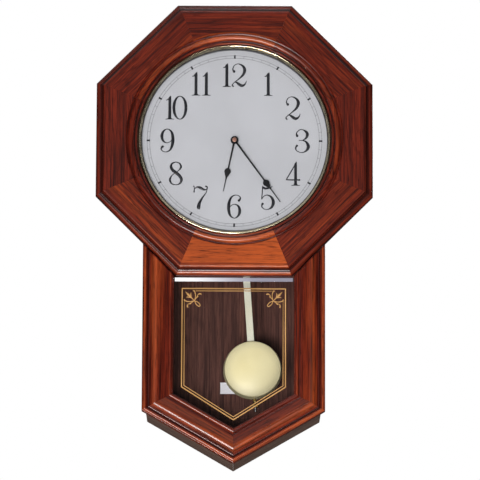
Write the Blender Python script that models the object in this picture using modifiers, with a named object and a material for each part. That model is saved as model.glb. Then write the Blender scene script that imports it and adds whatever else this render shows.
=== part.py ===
"""Octagonal drop-trunk wall clock with a quartz pendulum movement, as separate solids.

Sizes are in millimetres and become metres when a mesh is made.  The origin is on the wall,
straight behind the hand arbor.  The clock faces -Y, and a depth is a distance off the wall.
"""

import math

import bmesh
import bpy
from mathutils import Matrix, Vector

MM = 0.001

# Fits
GAP = 0.3            # between pieces that touch
DOOR_GAP = 2.5       # between the door stiles and the octagon
PIVOT_PLAY = 0.3     # round an arbor or a pin

# Octagonal dial frame
OCTAGON = 330.0      # across flats
BOARD = 19.0         # thickness of its boards
OVOLO = 4.4          # edge moulding, from the outer side inwards
LIP = 0.6
COVE = 3.6
STEP = 1.4
EDGE_BEAD = 1.6
RING_WIDTH = 14.5    # round moulding about the dial, from the opening to its outer arris
RING_COVE = 3.4
RING_BEAD = 3.9
RING_GROOVE = 1.1
RING_FILLET = 2.5
BEZEL_ROOM = 1.0     # between the bezel and the opening that is turned for it
REBATE_WIDTH = 6.0
BACKING = 3.0

# Case
CASE_DEPTH = 92.0
CASE_INSET = 4.5     # from the door's edge to the side of the case
CASE_TOP = 120.0
CASE_WALL = 9.0
PANEL = 6.0
TRUNK_ANGLE = 30.0   # slope of the pointed base
HANGER_Z = 88.0
HANGER = 44.0
HANGER_SHEET = 1.2
KEYHOLE = 5.2        # radius of the keyhole's round end
KEYHOLE_SLOT = 5.0   # width of its slot
LABEL_X = 3.0
LABEL_Z = -285.0
LABEL_WIDTH = 37.6
LABEL_HEIGHT = 13.7

# Door
DOOR_WIDTH = 216.0
DOOR_TIP = -389.0    # height of its lower point
DOOR_OFF = 2.0       # from the case to the back of the door
DOOR_THICKNESS = 14.0
DOOR_MEMBER = 36.5   # width of a stile or a base rail
GLASS = 2.4
GLASS_LAP = 4.1
GLASS_TOP_GAP = 1.5
HINGE_ROOM = 2.1     # from the case side to the hinge axis
HINGE_OFF = -0.1     # hinge axis, from the case front
HINGE_SETBACK = 3.0  # from the octagon down to the middle of the upper hinge
HINGE_LIFT = 36.6    # from the door's corner up to the middle of the lower hinge
HINGE_LENGTH = 24.0
HINGE_RADIUS = 1.6
HINGE_PIN = 0.6
LEAF = 0.5
LEAF_REACH = 8.0
CATCH_Z = -235.0

# Dial, bezel and hands
DIAL_LAP = 1.0       # how far the bezel reaches past the dial's edge
DIAL_SHEET = 0.6
BEZEL_RADIUS = 115.0
BEZEL_HEIGHT = 9.0
BEZEL_WALL = 4.6     # width of the bezel with its conical inner wall
DIAL_GLASS = 1.8
MINUTE_LENGTH = 93.4
MINUTE_SPADE = 64.6
HOUR_LENGTH = 63.8
HOUR_SPADE = 38.9
SPADE_HALF = 3.9
SPADE_LENGTH = 12.0
HAND_SHEET = 0.6
HUB_RADIUS = 4.7
MINUTE_ANGLE = 144.0
HOUR_ANGLE = 192.0

# Movement
ARBOR = 1.2
TUBE_WALL = 0.7
BUSH_WALL = 0.9
MOVEMENT_WIDTH = 56.0
MOVEMENT_LOW = -32.0
MOVEMENT_HIGH = 66.0
CELL_ROOM = 1.6      # spare depth behind and in front of the cell
MOVEMENT_WALL = 1.4
WASHER = 0.8
COVER = 1.5
CANNON_TEETH = 12
CHANGE_TEETH = 36
CHANGE_PINION_TEETH = 10
HOUR_TEETH = 40
CENTRE_TEETH = 36
CENTRE_MODULE = 0.4
GEAR_DISTANCE = 9.0
CHANGE_ARBOR = 0.9
KNOB_RADIUS = 5.0
KNOB_LENGTH = 4.8
BATTERY_RADIUS = 7.0
BATTERY_LENGTH = 50.0

# Pendulum, measured down from its pivot
PIVOT_Z = 52.0
PENDULUM_TILT = -4.02
PIN_RADIUS = 1.5
STRAP_WIDTH = 10.0
STRAP_LENGTH = 78.0
STRAP = 3.0
PENDULUM_OFF = 7.1   # from the movement's cover to the strap
ROD_WIDTH = 8.1
ROD = 1.0
ROD_TOP = -60.0
BOB_DROP = 325.0
BOB_RADIUS = 35.0
BOB_FLARE = 1.6      # how much the rim is wider than the face
BOB_DEPTH = 15.0
BOB_DOME = 3.5
BOB_SHEET = 0.8
STUD = 1.5
NUT_RADIUS = 4.2
NUT_DROP = 6.0       # from the bob down to the head of the rating nut

# Depths and corners that follow from the sizes above
OPENING_RADIUS = BEZEL_RADIUS + BEZEL_ROOM
RAIL_INNER = OPENING_RADIUS * 0.9
RING_RADIUS = OPENING_RADIUS + RING_WIDTH
BACKING_RADIUS = OPENING_RADIUS + REBATE_WIDTH - GAP
DIAL_RADIUS = BEZEL_RADIUS - DIAL_LAP
BEZEL_SIGHT = BEZEL_RADIUS - BEZEL_WALL
HOUR_TUBE = ARBOR + PIVOT_PLAY + TUBE_WALL
BUSH = HOUR_TUBE + PIVOT_PLAY + BUSH_WALL
RAIL_REAR = CASE_DEPTH + GAP
RAIL_FRONT = RAIL_REAR + BOARD
BACKING_FRONT = RAIL_REAR + BACKING
DIAL_REAR = BACKING_FRONT + GAP
DIAL_FRONT = DIAL_REAR + DIAL_SHEET
BEZEL_REAR = DIAL_FRONT + GAP
BEZEL_FRONT = BEZEL_REAR + BEZEL_HEIGHT
NUT_REAR = DIAL_FRONT + GAP
HOUR_DEPTH = NUT_REAR + 2.1
MINUTE_DEPTH = HOUR_DEPTH + 1.8
MOVEMENT_FRONT = CASE_DEPTH - WASHER - GAP
MOVEMENT_REAR = MOVEMENT_FRONT - MOVEMENT_WALL - 2 * BATTERY_RADIUS - CELL_ROOM
COVER_REAR = MOVEMENT_REAR - GAP - COVER
SLOPE = math.tan(math.radians(TRUNK_ANGLE))
SLANT = 1 / math.cos(math.radians(TRUNK_ANGLE))
DOOR_REAR = CASE_DEPTH + DOOR_OFF
DOOR_CORNER = DOOR_TIP + DOOR_WIDTH / 2 * SLOPE
CASE_WIDTH = DOOR_WIDTH - 2 * CASE_INSET
CASE_TIP = DOOR_TIP + CASE_INSET * 0.8 * SLANT
SIGHT_WIDTH = DOOR_WIDTH - 2 * DOOR_MEMBER
HINGE_ACROSS = -CASE_WIDTH / 2 - HINGE_ROOM
HINGE_DEPTH = CASE_DEPTH + HINGE_OFF
HINGE_HEIGHTS = (-OCTAGON / 2 - HINGE_SETBACK, DOOR_CORNER + HINGE_LIFT)
STRAP_DEPTH = COVER_REAR - PENDULUM_OFF - STRAP
BOB_FACE = BOB_RADIUS - BOB_FLARE
ROD_DEPTH = STRAP_DEPTH + STRAP + GAP
PENDULUM_PLANE = ROD_DEPTH + ROD / 2

model = None
cutters = None


def start():
    """Empty the scene and make the two collections."""
    global model, cutters
    for thing in list(bpy.data.objects):
        bpy.data.objects.remove(thing, do_unlink=True)
    model = bpy.data.collections.new("wall_clock")
    cutters = bpy.data.collections.new("cutters")
    bpy.context.scene.collection.children.link(model)
    bpy.context.scene.collection.children.link(cutters)


def material(name, colour, roughness, metallic=0.0):
    """A plain Principled material, shared by the pieces that are made of it."""
    found = bpy.data.materials.get(name)
    if found:
        return found
    made = bpy.data.materials.new(name)
    made.use_nodes = True
    shader = made.node_tree.nodes["Principled BSDF"]
    shader.inputs["Base Color"].default_value = (*colour, 1.0)
    shader.inputs["Roughness"].default_value = roughness
    shader.inputs["Metallic"].default_value = metallic
    return made


def oak():
    return material("stained_oak", (0.16, 0.045, 0.02), 0.3)


def walnut():
    return material("dark_veneer", (0.07, 0.035, 0.03), 0.5)


def board_stain():
    return material("thin_stain", (0.22, 0.18, 0.16), 0.6)


def brass():
    return material("lacquered_brass", (0.75, 0.55, 0.28), 0.22, 1.0)


def pale_brass():
    return material("pale_brass", (0.82, 0.74, 0.5), 0.28, 1.0)


def steel():
    return material("zinc_plated_steel", (0.6, 0.6, 0.6), 0.35, 1.0)


def black_enamel():
    return material("black_enamel", (0.015, 0.015, 0.02), 0.3)


def dial_enamel():
    return material("dial_enamel", (0.56, 0.57, 0.6), 0.45)


def glass():
    return material("window_glass", (0.9, 0.93, 0.92), 0.03)


def black_plastic():
    return material("black_plastic", (0.03, 0.03, 0.035), 0.5)


def white_nylon():
    return material("white_nylon", (0.8, 0.8, 0.76), 0.45)


def copper():
    return material("enamelled_copper", (0.6, 0.26, 0.12), 0.35, 1.0)


def keep(thing, surface, hidden=False):
    """Put an object in its collection, with its material."""
    for home in list(thing.users_collection):
        home.objects.unlink(thing)
    thing.data.materials.clear()
    thing.data.materials.append(surface)
    if hidden:
        cutters.objects.link(thing)
        thing.hide_render = True
        thing.display_type = "WIRE"
    else:
        model.objects.link(thing)
    return thing


def box(name, surface, across, depth, height, hidden=False):
    """A rectangular block between two values in x, in depth and in z."""
    bpy.ops.mesh.primitive_cube_add(size=1.0)
    thing = bpy.context.active_object
    thing.name = name
    thing.data.name = name
    size = (across[1] - across[0], depth[1] - depth[0], height[1] - height[0])
    thing.data.transform(Matrix.Diagonal((*[s * MM for s in size], 1.0)))
    centre = (sum(across) / 2, -sum(depth) / 2, sum(height) / 2)
    thing.location = Vector(centre) * MM
    return keep(thing, surface, hidden)


def turned(name, surface, profile, at=(0.0, 0.0), steps=48, ring=False, upright=False, hidden=False):
    """A turned piece: (radius, depth) points down its outer side, front to back.

    With upright set it stands on +Z, its profile's second value is a height, and
    at holds x and depth.
    """
    mesh = bpy.data.meshes.new(name)
    count = len(profile)
    edges = [(i, i + 1) for i in range(count - 1)]
    if ring:
        edges.append((count - 1, 0))
    mesh.from_pydata([(r * MM, 0.0, d * MM) for r, d in profile], edges, [])
    thing = bpy.data.objects.new(name, mesh)
    screw = thing.modifiers.new("Turn", "SCREW")
    screw.steps = steps
    screw.render_steps = steps
    screw.use_merge_vertices = True
    screw.merge_threshold = 0.00001
    screw.use_smooth_shade = True
    if upright:
        thing.location = (at[0] * MM, -at[1] * MM, 0.0)
    else:
        thing.rotation_euler.x = math.pi / 2
        thing.location = (at[0] * MM, 0.0, at[1] * MM)
    return keep(thing, surface, hidden)


def rod_x(name, surface, radius, across, at, hidden=False):
    """A round bar along x, with at holding its depth and height."""
    thing = turned(name, surface, cylinder(radius, *across), steps=32, hidden=hidden)
    thing.rotation_euler = (0.0, math.pi / 2, 0.0)
    thing.location = (0.0, -at[0] * MM, at[1] * MM)
    return thing


def cylinder(radius, low, high):
    """Profile of a plain cylinder between two depths or heights."""
    return [(0.0, high), (radius, high), (radius, low), (0.0, low)]


def tube(radius, bore, low, high):
    """Profile of a plain tube, for a ring."""
    return [(radius, high), (radius, low), (bore, low), (bore, high)]


def solid_mesh(name, curve):
    """The welded mesh of an extruded curve, its faces pointing out."""
    source = bpy.data.objects.new(name, curve)
    bpy.context.scene.collection.objects.link(source)
    evaluated = source.evaluated_get(bpy.context.evaluated_depsgraph_get())
    mesh = bpy.data.meshes.new_from_object(evaluated)
    bpy.data.objects.remove(source, do_unlink=True)
    work = bmesh.new()
    work.from_mesh(mesh)
    bmesh.ops.remove_doubles(work, verts=work.verts, dist=0.000002)
    bmesh.ops.recalc_face_normals(work, faces=work.faces)
    work.to_mesh(mesh)
    work.free()
    mesh.name = name
    return mesh


def outline_curve(name, outlines, thickness):
    """A filled flat curve with holes, extruded to a thickness."""
    curve = bpy.data.curves.new(name, "CURVE")
    curve.dimensions = "2D"
    curve.fill_mode = "BOTH"
    curve.extrude = thickness / 2 * MM
    for outline in outlines:
        spline = curve.splines.new("POLY")
        spline.points.add(len(outline) - 1)
        for point, (x, y) in zip(spline.points, outline):
            point.co = (x * MM, y * MM, 0.0, 1.0)
        spline.use_cyclic_u = True
    return curve


def flat(name, surface, outlines, depth, at=(0.0, 0.0), hidden=False):
    """A piece cut from sheet: outlines in x and z about a point, between two depths."""
    curve = outline_curve(name, outlines, depth[1] - depth[0])
    thing = bpy.data.objects.new(name, solid_mesh(name, curve))
    thing.rotation_euler.x = math.pi / 2
    thing.location = (at[0] * MM, -sum(depth) / 2 * MM, at[1] * MM)
    return keep(thing, surface, hidden)


def moulding(name, surface, section, angle, length, cuts):
    """A straight moulded bar, cut at its ends.

    The section's points are (distance from the dial's centre, depth), the angle says
    which way it faces in the plane of the dial, and each cut is a point and a direction
    in x and z: what lies beyond it is taken off.
    """
    curve = outline_curve(name, [section], length)
    mesh = solid_mesh(name, curve)
    turn = math.radians(angle)
    out = Vector((math.cos(turn), 0.0, math.sin(turn)))
    front = Vector((0.0, -1.0, 0.0))
    frame = Matrix((out, front, out.cross(front))).transposed().to_4x4()
    mesh.transform(frame)
    work = bmesh.new()
    work.from_mesh(mesh)
    for point, direction in cuts:
        parts = work.verts[:] + work.edges[:] + work.faces[:]
        made = bmesh.ops.bisect_plane(
            work,
            geom=parts,
            dist=0.0000001,
            plane_co=Vector((point[0], 0.0, point[1])) * MM,
            plane_no=Vector((direction[0], 0.0, direction[1])),
            clear_outer=True,
        )
        rim = [e for e in made["geom_cut"] if isinstance(e, bmesh.types.BMEdge)]
        bmesh.ops.edgenet_fill(work, edges=rim)
    bmesh.ops.recalc_face_normals(work, faces=work.faces)
    work.to_mesh(mesh)
    work.free()
    thing = bpy.data.objects.new(name, mesh)
    return keep(thing, surface)


def combine(thing, other, how="DIFFERENCE"):
    """Cut one piece with another, or join them, with an exact Boolean."""
    step = thing.modifiers.new(how.title(), "BOOLEAN")
    step.operation = how
    step.object = other
    step.solver = "EXACT"
    return thing


def axis(name, at, tilt=0.0):
    """An empty on a joint's axis; at is x, depth and z."""
    empty = bpy.data.objects.new(name, None)
    empty.empty_display_size = 0.01
    empty.location = (at[0] * MM, -at[1] * MM, at[2] * MM)
    empty.rotation_euler.y = math.radians(tilt)
    model.objects.link(empty)
    return empty


def carry(empty, things):
    """Parent pieces to an empty and leave them where they are."""
    bpy.context.view_layer.update()
    for thing in things:
        thing.parent = empty
        thing.matrix_parent_inverse = empty.matrix_world.inverted()


def arc(x, y, radius, first, last, count=4):
    """Points on a circle from one angle to another, in degrees, both ends included."""
    angles = [math.radians(first + (last - first) * i / count) for i in range(count + 1)]
    return [(x + radius * math.cos(a), y + radius * math.sin(a)) for a in angles]


def circle(radius, count=32, x=0.0, y=0.0):
    """A closed round outline."""
    return arc(x, y, radius, 0.0, 360.0, count)[:-1]


def direction(angle):
    return (math.cos(math.radians(angle)), math.sin(math.radians(angle)))


def along(angle, distance):
    """The point at a distance from the dial's centre."""
    return tuple(distance * c for c in direction(angle))


# Octagonal dial frame


def rail_section():
    """Section of an octagon board: plain side, ovolo, cove, small bead, flat field."""
    edge = OCTAGON / 2
    ovolo_x = edge - OVOLO
    cove_x = ovolo_x - LIP
    bead_x = cove_x - COVE - EDGE_BEAD
    bead_depth = RAIL_FRONT - EDGE_BEAD
    cove_depth = bead_depth - STEP
    side_depth = cove_depth - COVE - LIP - OVOLO
    points = [(RAIL_INNER, RAIL_REAR), (edge, RAIL_REAR)]
    points += arc(ovolo_x, side_depth, OVOLO, 0, 90)
    points += [(cove_x, side_depth + OVOLO)]
    points += arc(cove_x, cove_depth, COVE, 270, 180)
    points += arc(bead_x, bead_depth, EDGE_BEAD, 0, 90, 3)
    points += [(RAIL_INNER, RAIL_FRONT)]
    return points


def ring_cutter():
    """What is turned out of the boards: the round moulding, the opening and the rebate."""
    bead_radius = RING_RADIUS - RING_COVE - RING_BEAD
    groove_depth = RAIL_FRONT - RING_BEAD - RING_GROOVE
    groove_radius = bead_radius - RING_BEAD
    fillet_radius = OPENING_RADIUS + RING_FILLET
    shelf = BACKING_FRONT + GAP
    profile = [(0.0, RAIL_FRONT + 2), (RING_RADIUS, RAIL_FRONT + 2)]
    profile += arc(RING_RADIUS - RING_COVE, RAIL_FRONT, RING_COVE, 0, -90)
    profile += arc(bead_radius, RAIL_FRONT - RING_BEAD, RING_BEAD, 0, 180, 6)
    profile += [(groove_radius, groove_depth), (fillet_radius, groove_depth)]
    profile += [(fillet_radius, groove_depth + RING_GROOVE), (OPENING_RADIUS, groove_depth + RING_GROOVE)]
    profile += [(OPENING_RADIUS, shelf), (BACKING_RADIUS + GAP, shelf)]
    profile += [(BACKING_RADIUS + GAP, RAIL_REAR - 2), (0.0, RAIL_REAR - 2)]
    return turned("ring_cutter", oak(), profile, steps=80, hidden=True)


def octagon():
    """Eight mitred boards with the round moulding turned in them."""
    cutter = ring_cutter()
    half = 22.5
    for number in range(8):
        angle = 90.0 - 45.0 * number
        cuts = []
        for side in (-1, 1):
            away = direction(angle + side * (half + 90.0))
            shy = tuple(-c * GAP / 2 for c in away)
            cuts.append((shy, away))
        name = f"octagon_rail_{number + 1}"
        rail = moulding(name, oak(), rail_section(), angle, OCTAGON, cuts)
        combine(rail, cutter)
    disc = tube(BACKING_RADIUS, BUSH + GAP, RAIL_REAR, BACKING_FRONT)
    turned("backing_board", walnut(), disc, steps=64, ring=True)


# Case


def case():
    """Trunk box behind the octagon, with a pointed base, a back panel and a wall hanger."""
    half = CASE_WIDTH / 2
    inner = half - CASE_WALL
    tip_in = CASE_TIP + CASE_WALL * SLANT
    corner_out = CASE_TIP + half * SLOPE
    corner_in = tip_in + inner * SLOPE
    lift = GAP * SLANT
    seam = GAP / 2
    for word, sign in (("left", -1), ("right", 1)):
        side = [(half, corner_out + lift), (half, CASE_TOP), (inner, CASE_TOP), (inner, corner_in + lift)]
        base = [(seam, CASE_TIP + seam * SLOPE), (half, corner_out)]
        base += [(inner, corner_in), (seam, tip_in + seam * SLOPE)]
        for part, outline in ((f"case_side_{word}", side), (f"case_base_{word}", base)):
            flat(part, board_stain(), [[(sign * x, z) for x, z in outline]], (0.0, CASE_DEPTH))
    width = inner - GAP
    box("case_top", board_stain(), (-width, width), (0.0, CASE_DEPTH), (CASE_TOP - CASE_WALL, CASE_TOP))
    back_panel(width, tip_in + lift)
    hanger()


def back_panel(width, tip):
    """Back of the case, with a pocket for the wall screw and a rebate for the hanger."""
    top = CASE_TOP - CASE_WALL - GAP
    corner = tip + width * SLOPE
    pocket = HANGER / 2 - 8.0
    hole = [(-pocket, HANGER_Z - pocket), (pocket, HANGER_Z - pocket)]
    hole += [(pocket, HANGER_Z + pocket), (-pocket, HANGER_Z + pocket)]
    outline = [(0.0, tip), (width, corner), (width, top), (-width, top), (-width, corner)]
    panel = flat("back_panel", walnut(), [outline, hole], (0.0, PANEL))
    reach = HANGER / 2 + GAP
    rebate = box(
        "hanger_rebate",
        walnut(),
        (-reach, reach),
        (-2.0, HANGER_SHEET + 2 * GAP),
        (HANGER_Z - reach, HANGER_Z + reach),
        hidden=True,
    )
    combine(panel, rebate)
    for side in (-1, 1):
        screw_x = side * (HANGER / 2 - 4.0)
        drill = cylinder(1.3, -1.0, PANEL - 1.0)
        bore = turned("screw_hole", walnut(), drill, (screw_x, HANGER_Z), 16, hidden=True)
        combine(panel, bore)
    low = LABEL_Z - LABEL_HEIGHT / 2
    across = (LABEL_X - LABEL_WIDTH / 2, LABEL_X + LABEL_WIDTH / 2)
    paper = material("label_paper", (0.85, 0.85, 0.83), 0.8)
    box("paper_label", paper, across, (PANEL + GAP, PANEL + GAP + 0.2), (low, low + LABEL_HEIGHT))


def hanger():
    """Steel keyhole plate let into the back, and its two screws."""
    half = HANGER / 2
    square = [(-half, -half), (half, -half), (half, half), (-half, half)]
    slot = math.degrees(math.asin(KEYHOLE_SLOT / 2 / KEYHOLE))
    keyhole = arc(0.0, -4.0, KEYHOLE, 90 + slot, 450 - slot, 16)
    keyhole += arc(0.0, 7.0, KEYHOLE_SLOT / 2, 0, 180, 8)
    holes = [circle(1.4, 16, side * (half - 4.0)) for side in (-1, 1)]
    sheet = (GAP / 2, GAP / 2 + HANGER_SHEET)
    flat("hanger_plate", steel(), [square, keyhole, *holes], sheet, (0.0, HANGER_Z))
    for word, side in (("left", -1), ("right", 1)):
        shank = [(0.0, PANEL - 1.4), (1.0, PANEL - 2.4), (1.0, 0.05), (0.0, 0.05)]
        turned(f"hanger_screw_{word}", steel(), shank, (side * (half - 4.0), HANGER_Z), 16)


# Door


def door_section(shift):
    """Section of a door member: outer bead, cove, broad ogee, inner bead, glass rebate."""
    edge = DOOR_WIDTH / 2
    sight = SIGHT_WIDTH / 2
    rear = DOOR_REAR
    front = rear + DOOR_THICKNESS
    step = rear + GLASS + 2 * GAP
    points = [(edge - 1.0, rear), (edge, rear + 1.0), (edge, front - 3.0)]
    points += arc(edge - 3.2, front - 2.6, 2.6, 10, 180, 6)
    points += [(edge - 5.8, front - 4.0)]
    points += arc(edge - 8.0, front - 2.6, 2.2, 220, 320, 3)[::-1]
    points += arc(edge - 14.5, front - 7.2, 5.6, 80, 120, 3)
    slack = (edge - 14.5 - sight) / 22.0
    points += [(sight + 14.5 * slack, front - 5.0), (sight + 10.5 * slack, front - 7.4)]
    points += [(sight + 7.1, front - 8.2), (sight + 6.1, front - 9.0)]
    points += arc(sight + 2.9, front - 9.2, 2.1, 20, 180, 5)
    points += [(sight, front - 10.0), (sight, step), (sight + GLASS_LAP + GAP, step)]
    points += [(sight + GLASS_LAP + GAP, rear)]
    return [(x + shift, depth) for x, depth in points]


def door():
    """Glazed door of the trunk: two stiles under the octagon, two rails in a point."""
    half = DOOR_WIDTH / 2
    shift = -DOOR_TIP / SLANT - half
    pieces = []
    for word, sign in (("left", -1), ("right", 1)):
        facing = 0.0 if sign > 0 else 180.0
        down = -90.0 + sign * TRUNK_ANGLE
        mitre = direction(90.0 - sign * TRUNK_ANGLE)
        corner = (sign * half, DOOR_CORNER)
        above = tuple(c + m * GAP / 2 for c, m in zip(corner, mitre))
        below = tuple(c - m * GAP / 2 for c, m in zip(corner, mitre))
        under = -90.0 + sign * 45.0
        top = (along(under, OCTAGON / 2 + DOOR_GAP), direction(under + 180.0))
        foot = (above, tuple(-c for c in mitre))
        name = f"door_stile_{word}"
        pieces.append(moulding(name, oak(), door_section(0.0), facing, 900.0, [top, foot]))
        shoulder = (below, mitre)
        middle = ((sign * GAP / 2, 0.0), (-sign, 0.0))
        name = f"door_base_rail_{word}"
        pieces.append(moulding(name, oak(), door_section(shift), down, 900.0, [shoulder, middle]))
    pieces.append(door_glass(shift))
    pieces += hinges()
    pieces.append(catch())
    carry(axis("door_axis", (HINGE_ACROSS, HINGE_DEPTH, -230.0)), pieces)


def door_glass(shift):
    """Pointed pane in the door's rebate."""
    width = SIGHT_WIDTH / 2 + GLASS_LAP
    tip = -(width + shift) * SLANT
    top = -OCTAGON / 2 - GLASS_TOP_GAP
    outline = [(0.0, tip), (width, tip + width * SLOPE), (width, top), (-width, top)]
    outline.append((-width, tip + width * SLOPE))
    return flat("door_glass", glass(), [outline], (DOOR_REAR + GAP, DOOR_REAR + GAP + GLASS))


def hinges():
    """Two butt hinges: a case leaf with its riveted pin, and a door leaf on it."""
    door_leaves = []
    third = HINGE_LENGTH / 3
    reach = HINGE_ACROSS + LEAF_REACH
    case_leaf = (CASE_DEPTH + GAP, CASE_DEPTH + GAP + LEAF)
    door_leaf = (DOOR_REAR - GAP - LEAF, DOOR_REAR - GAP)
    at = (HINGE_ACROSS, HINGE_DEPTH)
    for word, middle in zip(("upper", "lower"), HINGE_HEIGHTS):
        low = middle - HINGE_LENGTH / 2
        high = low + HINGE_LENGTH
        across = (HINGE_ACROSS + 1.2, reach)
        fixed = box(f"hinge_case_leaf_{word}", brass(), across, case_leaf, (low, high))
        waist = (middle - third / 2 - GAP, middle + third / 2 + GAP)
        notch = (HINGE_ACROSS, HINGE_ACROSS + HINGE_RADIUS + 0.7)
        deep = (HINGE_DEPTH - 3.0, HINGE_DEPTH + 3.0)
        room = box("knuckle_room", brass(), notch, deep, waist, hidden=True)
        combine(fixed, room)
        post = [(0.0, high), (HINGE_RADIUS, high), (HINGE_RADIUS, waist[1]), (HINGE_PIN, waist[1])]
        post += [(HINGE_PIN, waist[0]), (HINGE_RADIUS, waist[0]), (HINGE_RADIUS, low), (0.0, low)]
        knuckles = turned("case_knuckles", brass(), post, at, 20, upright=True, hidden=True)
        combine(fixed, knuckles, "UNION")
        span = (middle - third / 2, middle + third / 2)
        plate = box(f"hinge_door_leaf_{word}", brass(), (HINGE_ACROSS, reach), door_leaf, span)
        sleeve = tube(HINGE_RADIUS, HINGE_PIN + PIVOT_PLAY, *span)
        knuckle = turned("door_knuckle", brass(), sleeve, at, 20, ring=True, upright=True, hidden=True)
        combine(plate, knuckle, "UNION")
        door_leaves.append(plate)
    return door_leaves


def catch():
    """Magnet inside the case side, and the steel plate on the door that it holds."""
    inner = CASE_WIDTH / 2 - CASE_WALL
    across = (inner - GAP - 9.0, inner - GAP)
    height = (CATCH_Z - 14.0, CATCH_Z + 14.0)
    box("catch_magnet", black_plastic(), across, (CASE_DEPTH - 12.0, CASE_DEPTH + GAP), height)
    return box("catch_plate", steel(), across, (DOOR_REAR - GAP - 0.7, DOOR_REAR - GAP), height)


# Dial, bezel and hands


def dial():
    """Enamelled dial, brass bezel with a conical inner wall, and its flat glass."""
    sheet = tube(DIAL_RADIUS, BUSH + GAP, DIAL_REAR, DIAL_FRONT)
    turned("dial_plate", dial_enamel(), sheet, steps=60, ring=True)
    seat = BEZEL_FRONT - DIAL_GLASS - 2 * GAP
    lip = BEZEL_RADIUS - 1.4
    ring = [(BEZEL_RADIUS - 0.4, BEZEL_FRONT), (BEZEL_RADIUS, BEZEL_FRONT - 0.5)]
    ring += [(BEZEL_RADIUS, BEZEL_REAR), (BEZEL_SIGHT, BEZEL_REAR)]
    ring += [(lip - 0.8, seat), (lip, seat), (lip, BEZEL_FRONT)]
    turned("bezel_ring", brass(), ring, steps=60, ring=True)
    pane = cylinder(lip - 2 * GAP, seat + GAP, seat + GAP + DIAL_GLASS)
    turned("dial_glass", glass(), pane, steps=60)
    nut = tube(HUB_RADIUS - 0.1, BUSH + GAP, NUT_REAR, NUT_REAR + 1.4)
    turned("fixing_nut", brass(), nut, steps=20, ring=True)


def spade_outline(length, spade, root):
    """Outline of a spade hand that points up: hub, tapering shaft, teardrop, thin tip."""
    low = spade - SPADE_LENGTH * 0.42
    right = [(root, HUB_RADIUS), (root * 0.8, low)]
    for angle in (-70, -45, -15, 10, 35):
        lean = math.radians(angle)
        right.append((SPADE_HALF * math.cos(lean), spade + SPADE_HALF * math.sin(lean)))
    crown = spade + SPADE_LENGTH * 0.6
    right += [(SPADE_HALF * 0.5, spade + SPADE_LENGTH * 0.42), (SPADE_HALF * 0.26, crown)]
    right += [(0.6, crown + 5.0), (0.35, length)]
    left = [(-x, z) for x, z in reversed(right)]
    lean = math.degrees(math.acos(root / HUB_RADIUS))
    hub = arc(0.0, 0.0, HUB_RADIUS, 180 - lean, 360 + lean, 20)
    return hub + right + left


def hand(name, length, spade, root, bore, rear, angle):
    """A spade hand with a round hole, turned clockwise from twelve to its angle."""
    outlines = [spade_outline(length, spade, root), circle(bore, 20)]
    thing = flat(name, black_enamel(), outlines, (rear, rear + HAND_SHEET))
    thing.rotation_euler.y = math.radians(angle)
    return thing


# Movement


def gear_outline(teeth, module, phase=0.0):
    """Outline of a small moulded gear, with enough backlash to run freely."""
    pitch = 360.0 / teeth
    root = module * (teeth / 2 - 1.2)
    tip = module * (teeth / 2 + 0.7)
    points = []
    for number in range(teeth):
        middle = phase + number * pitch
        for offset, radius in ((-0.24, root), (-0.09, tip), (0.09, tip), (0.24, root)):
            angle = math.radians(middle + offset * pitch)
            points.append((radius * math.cos(angle), radius * math.sin(angle)))
    return points


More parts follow.
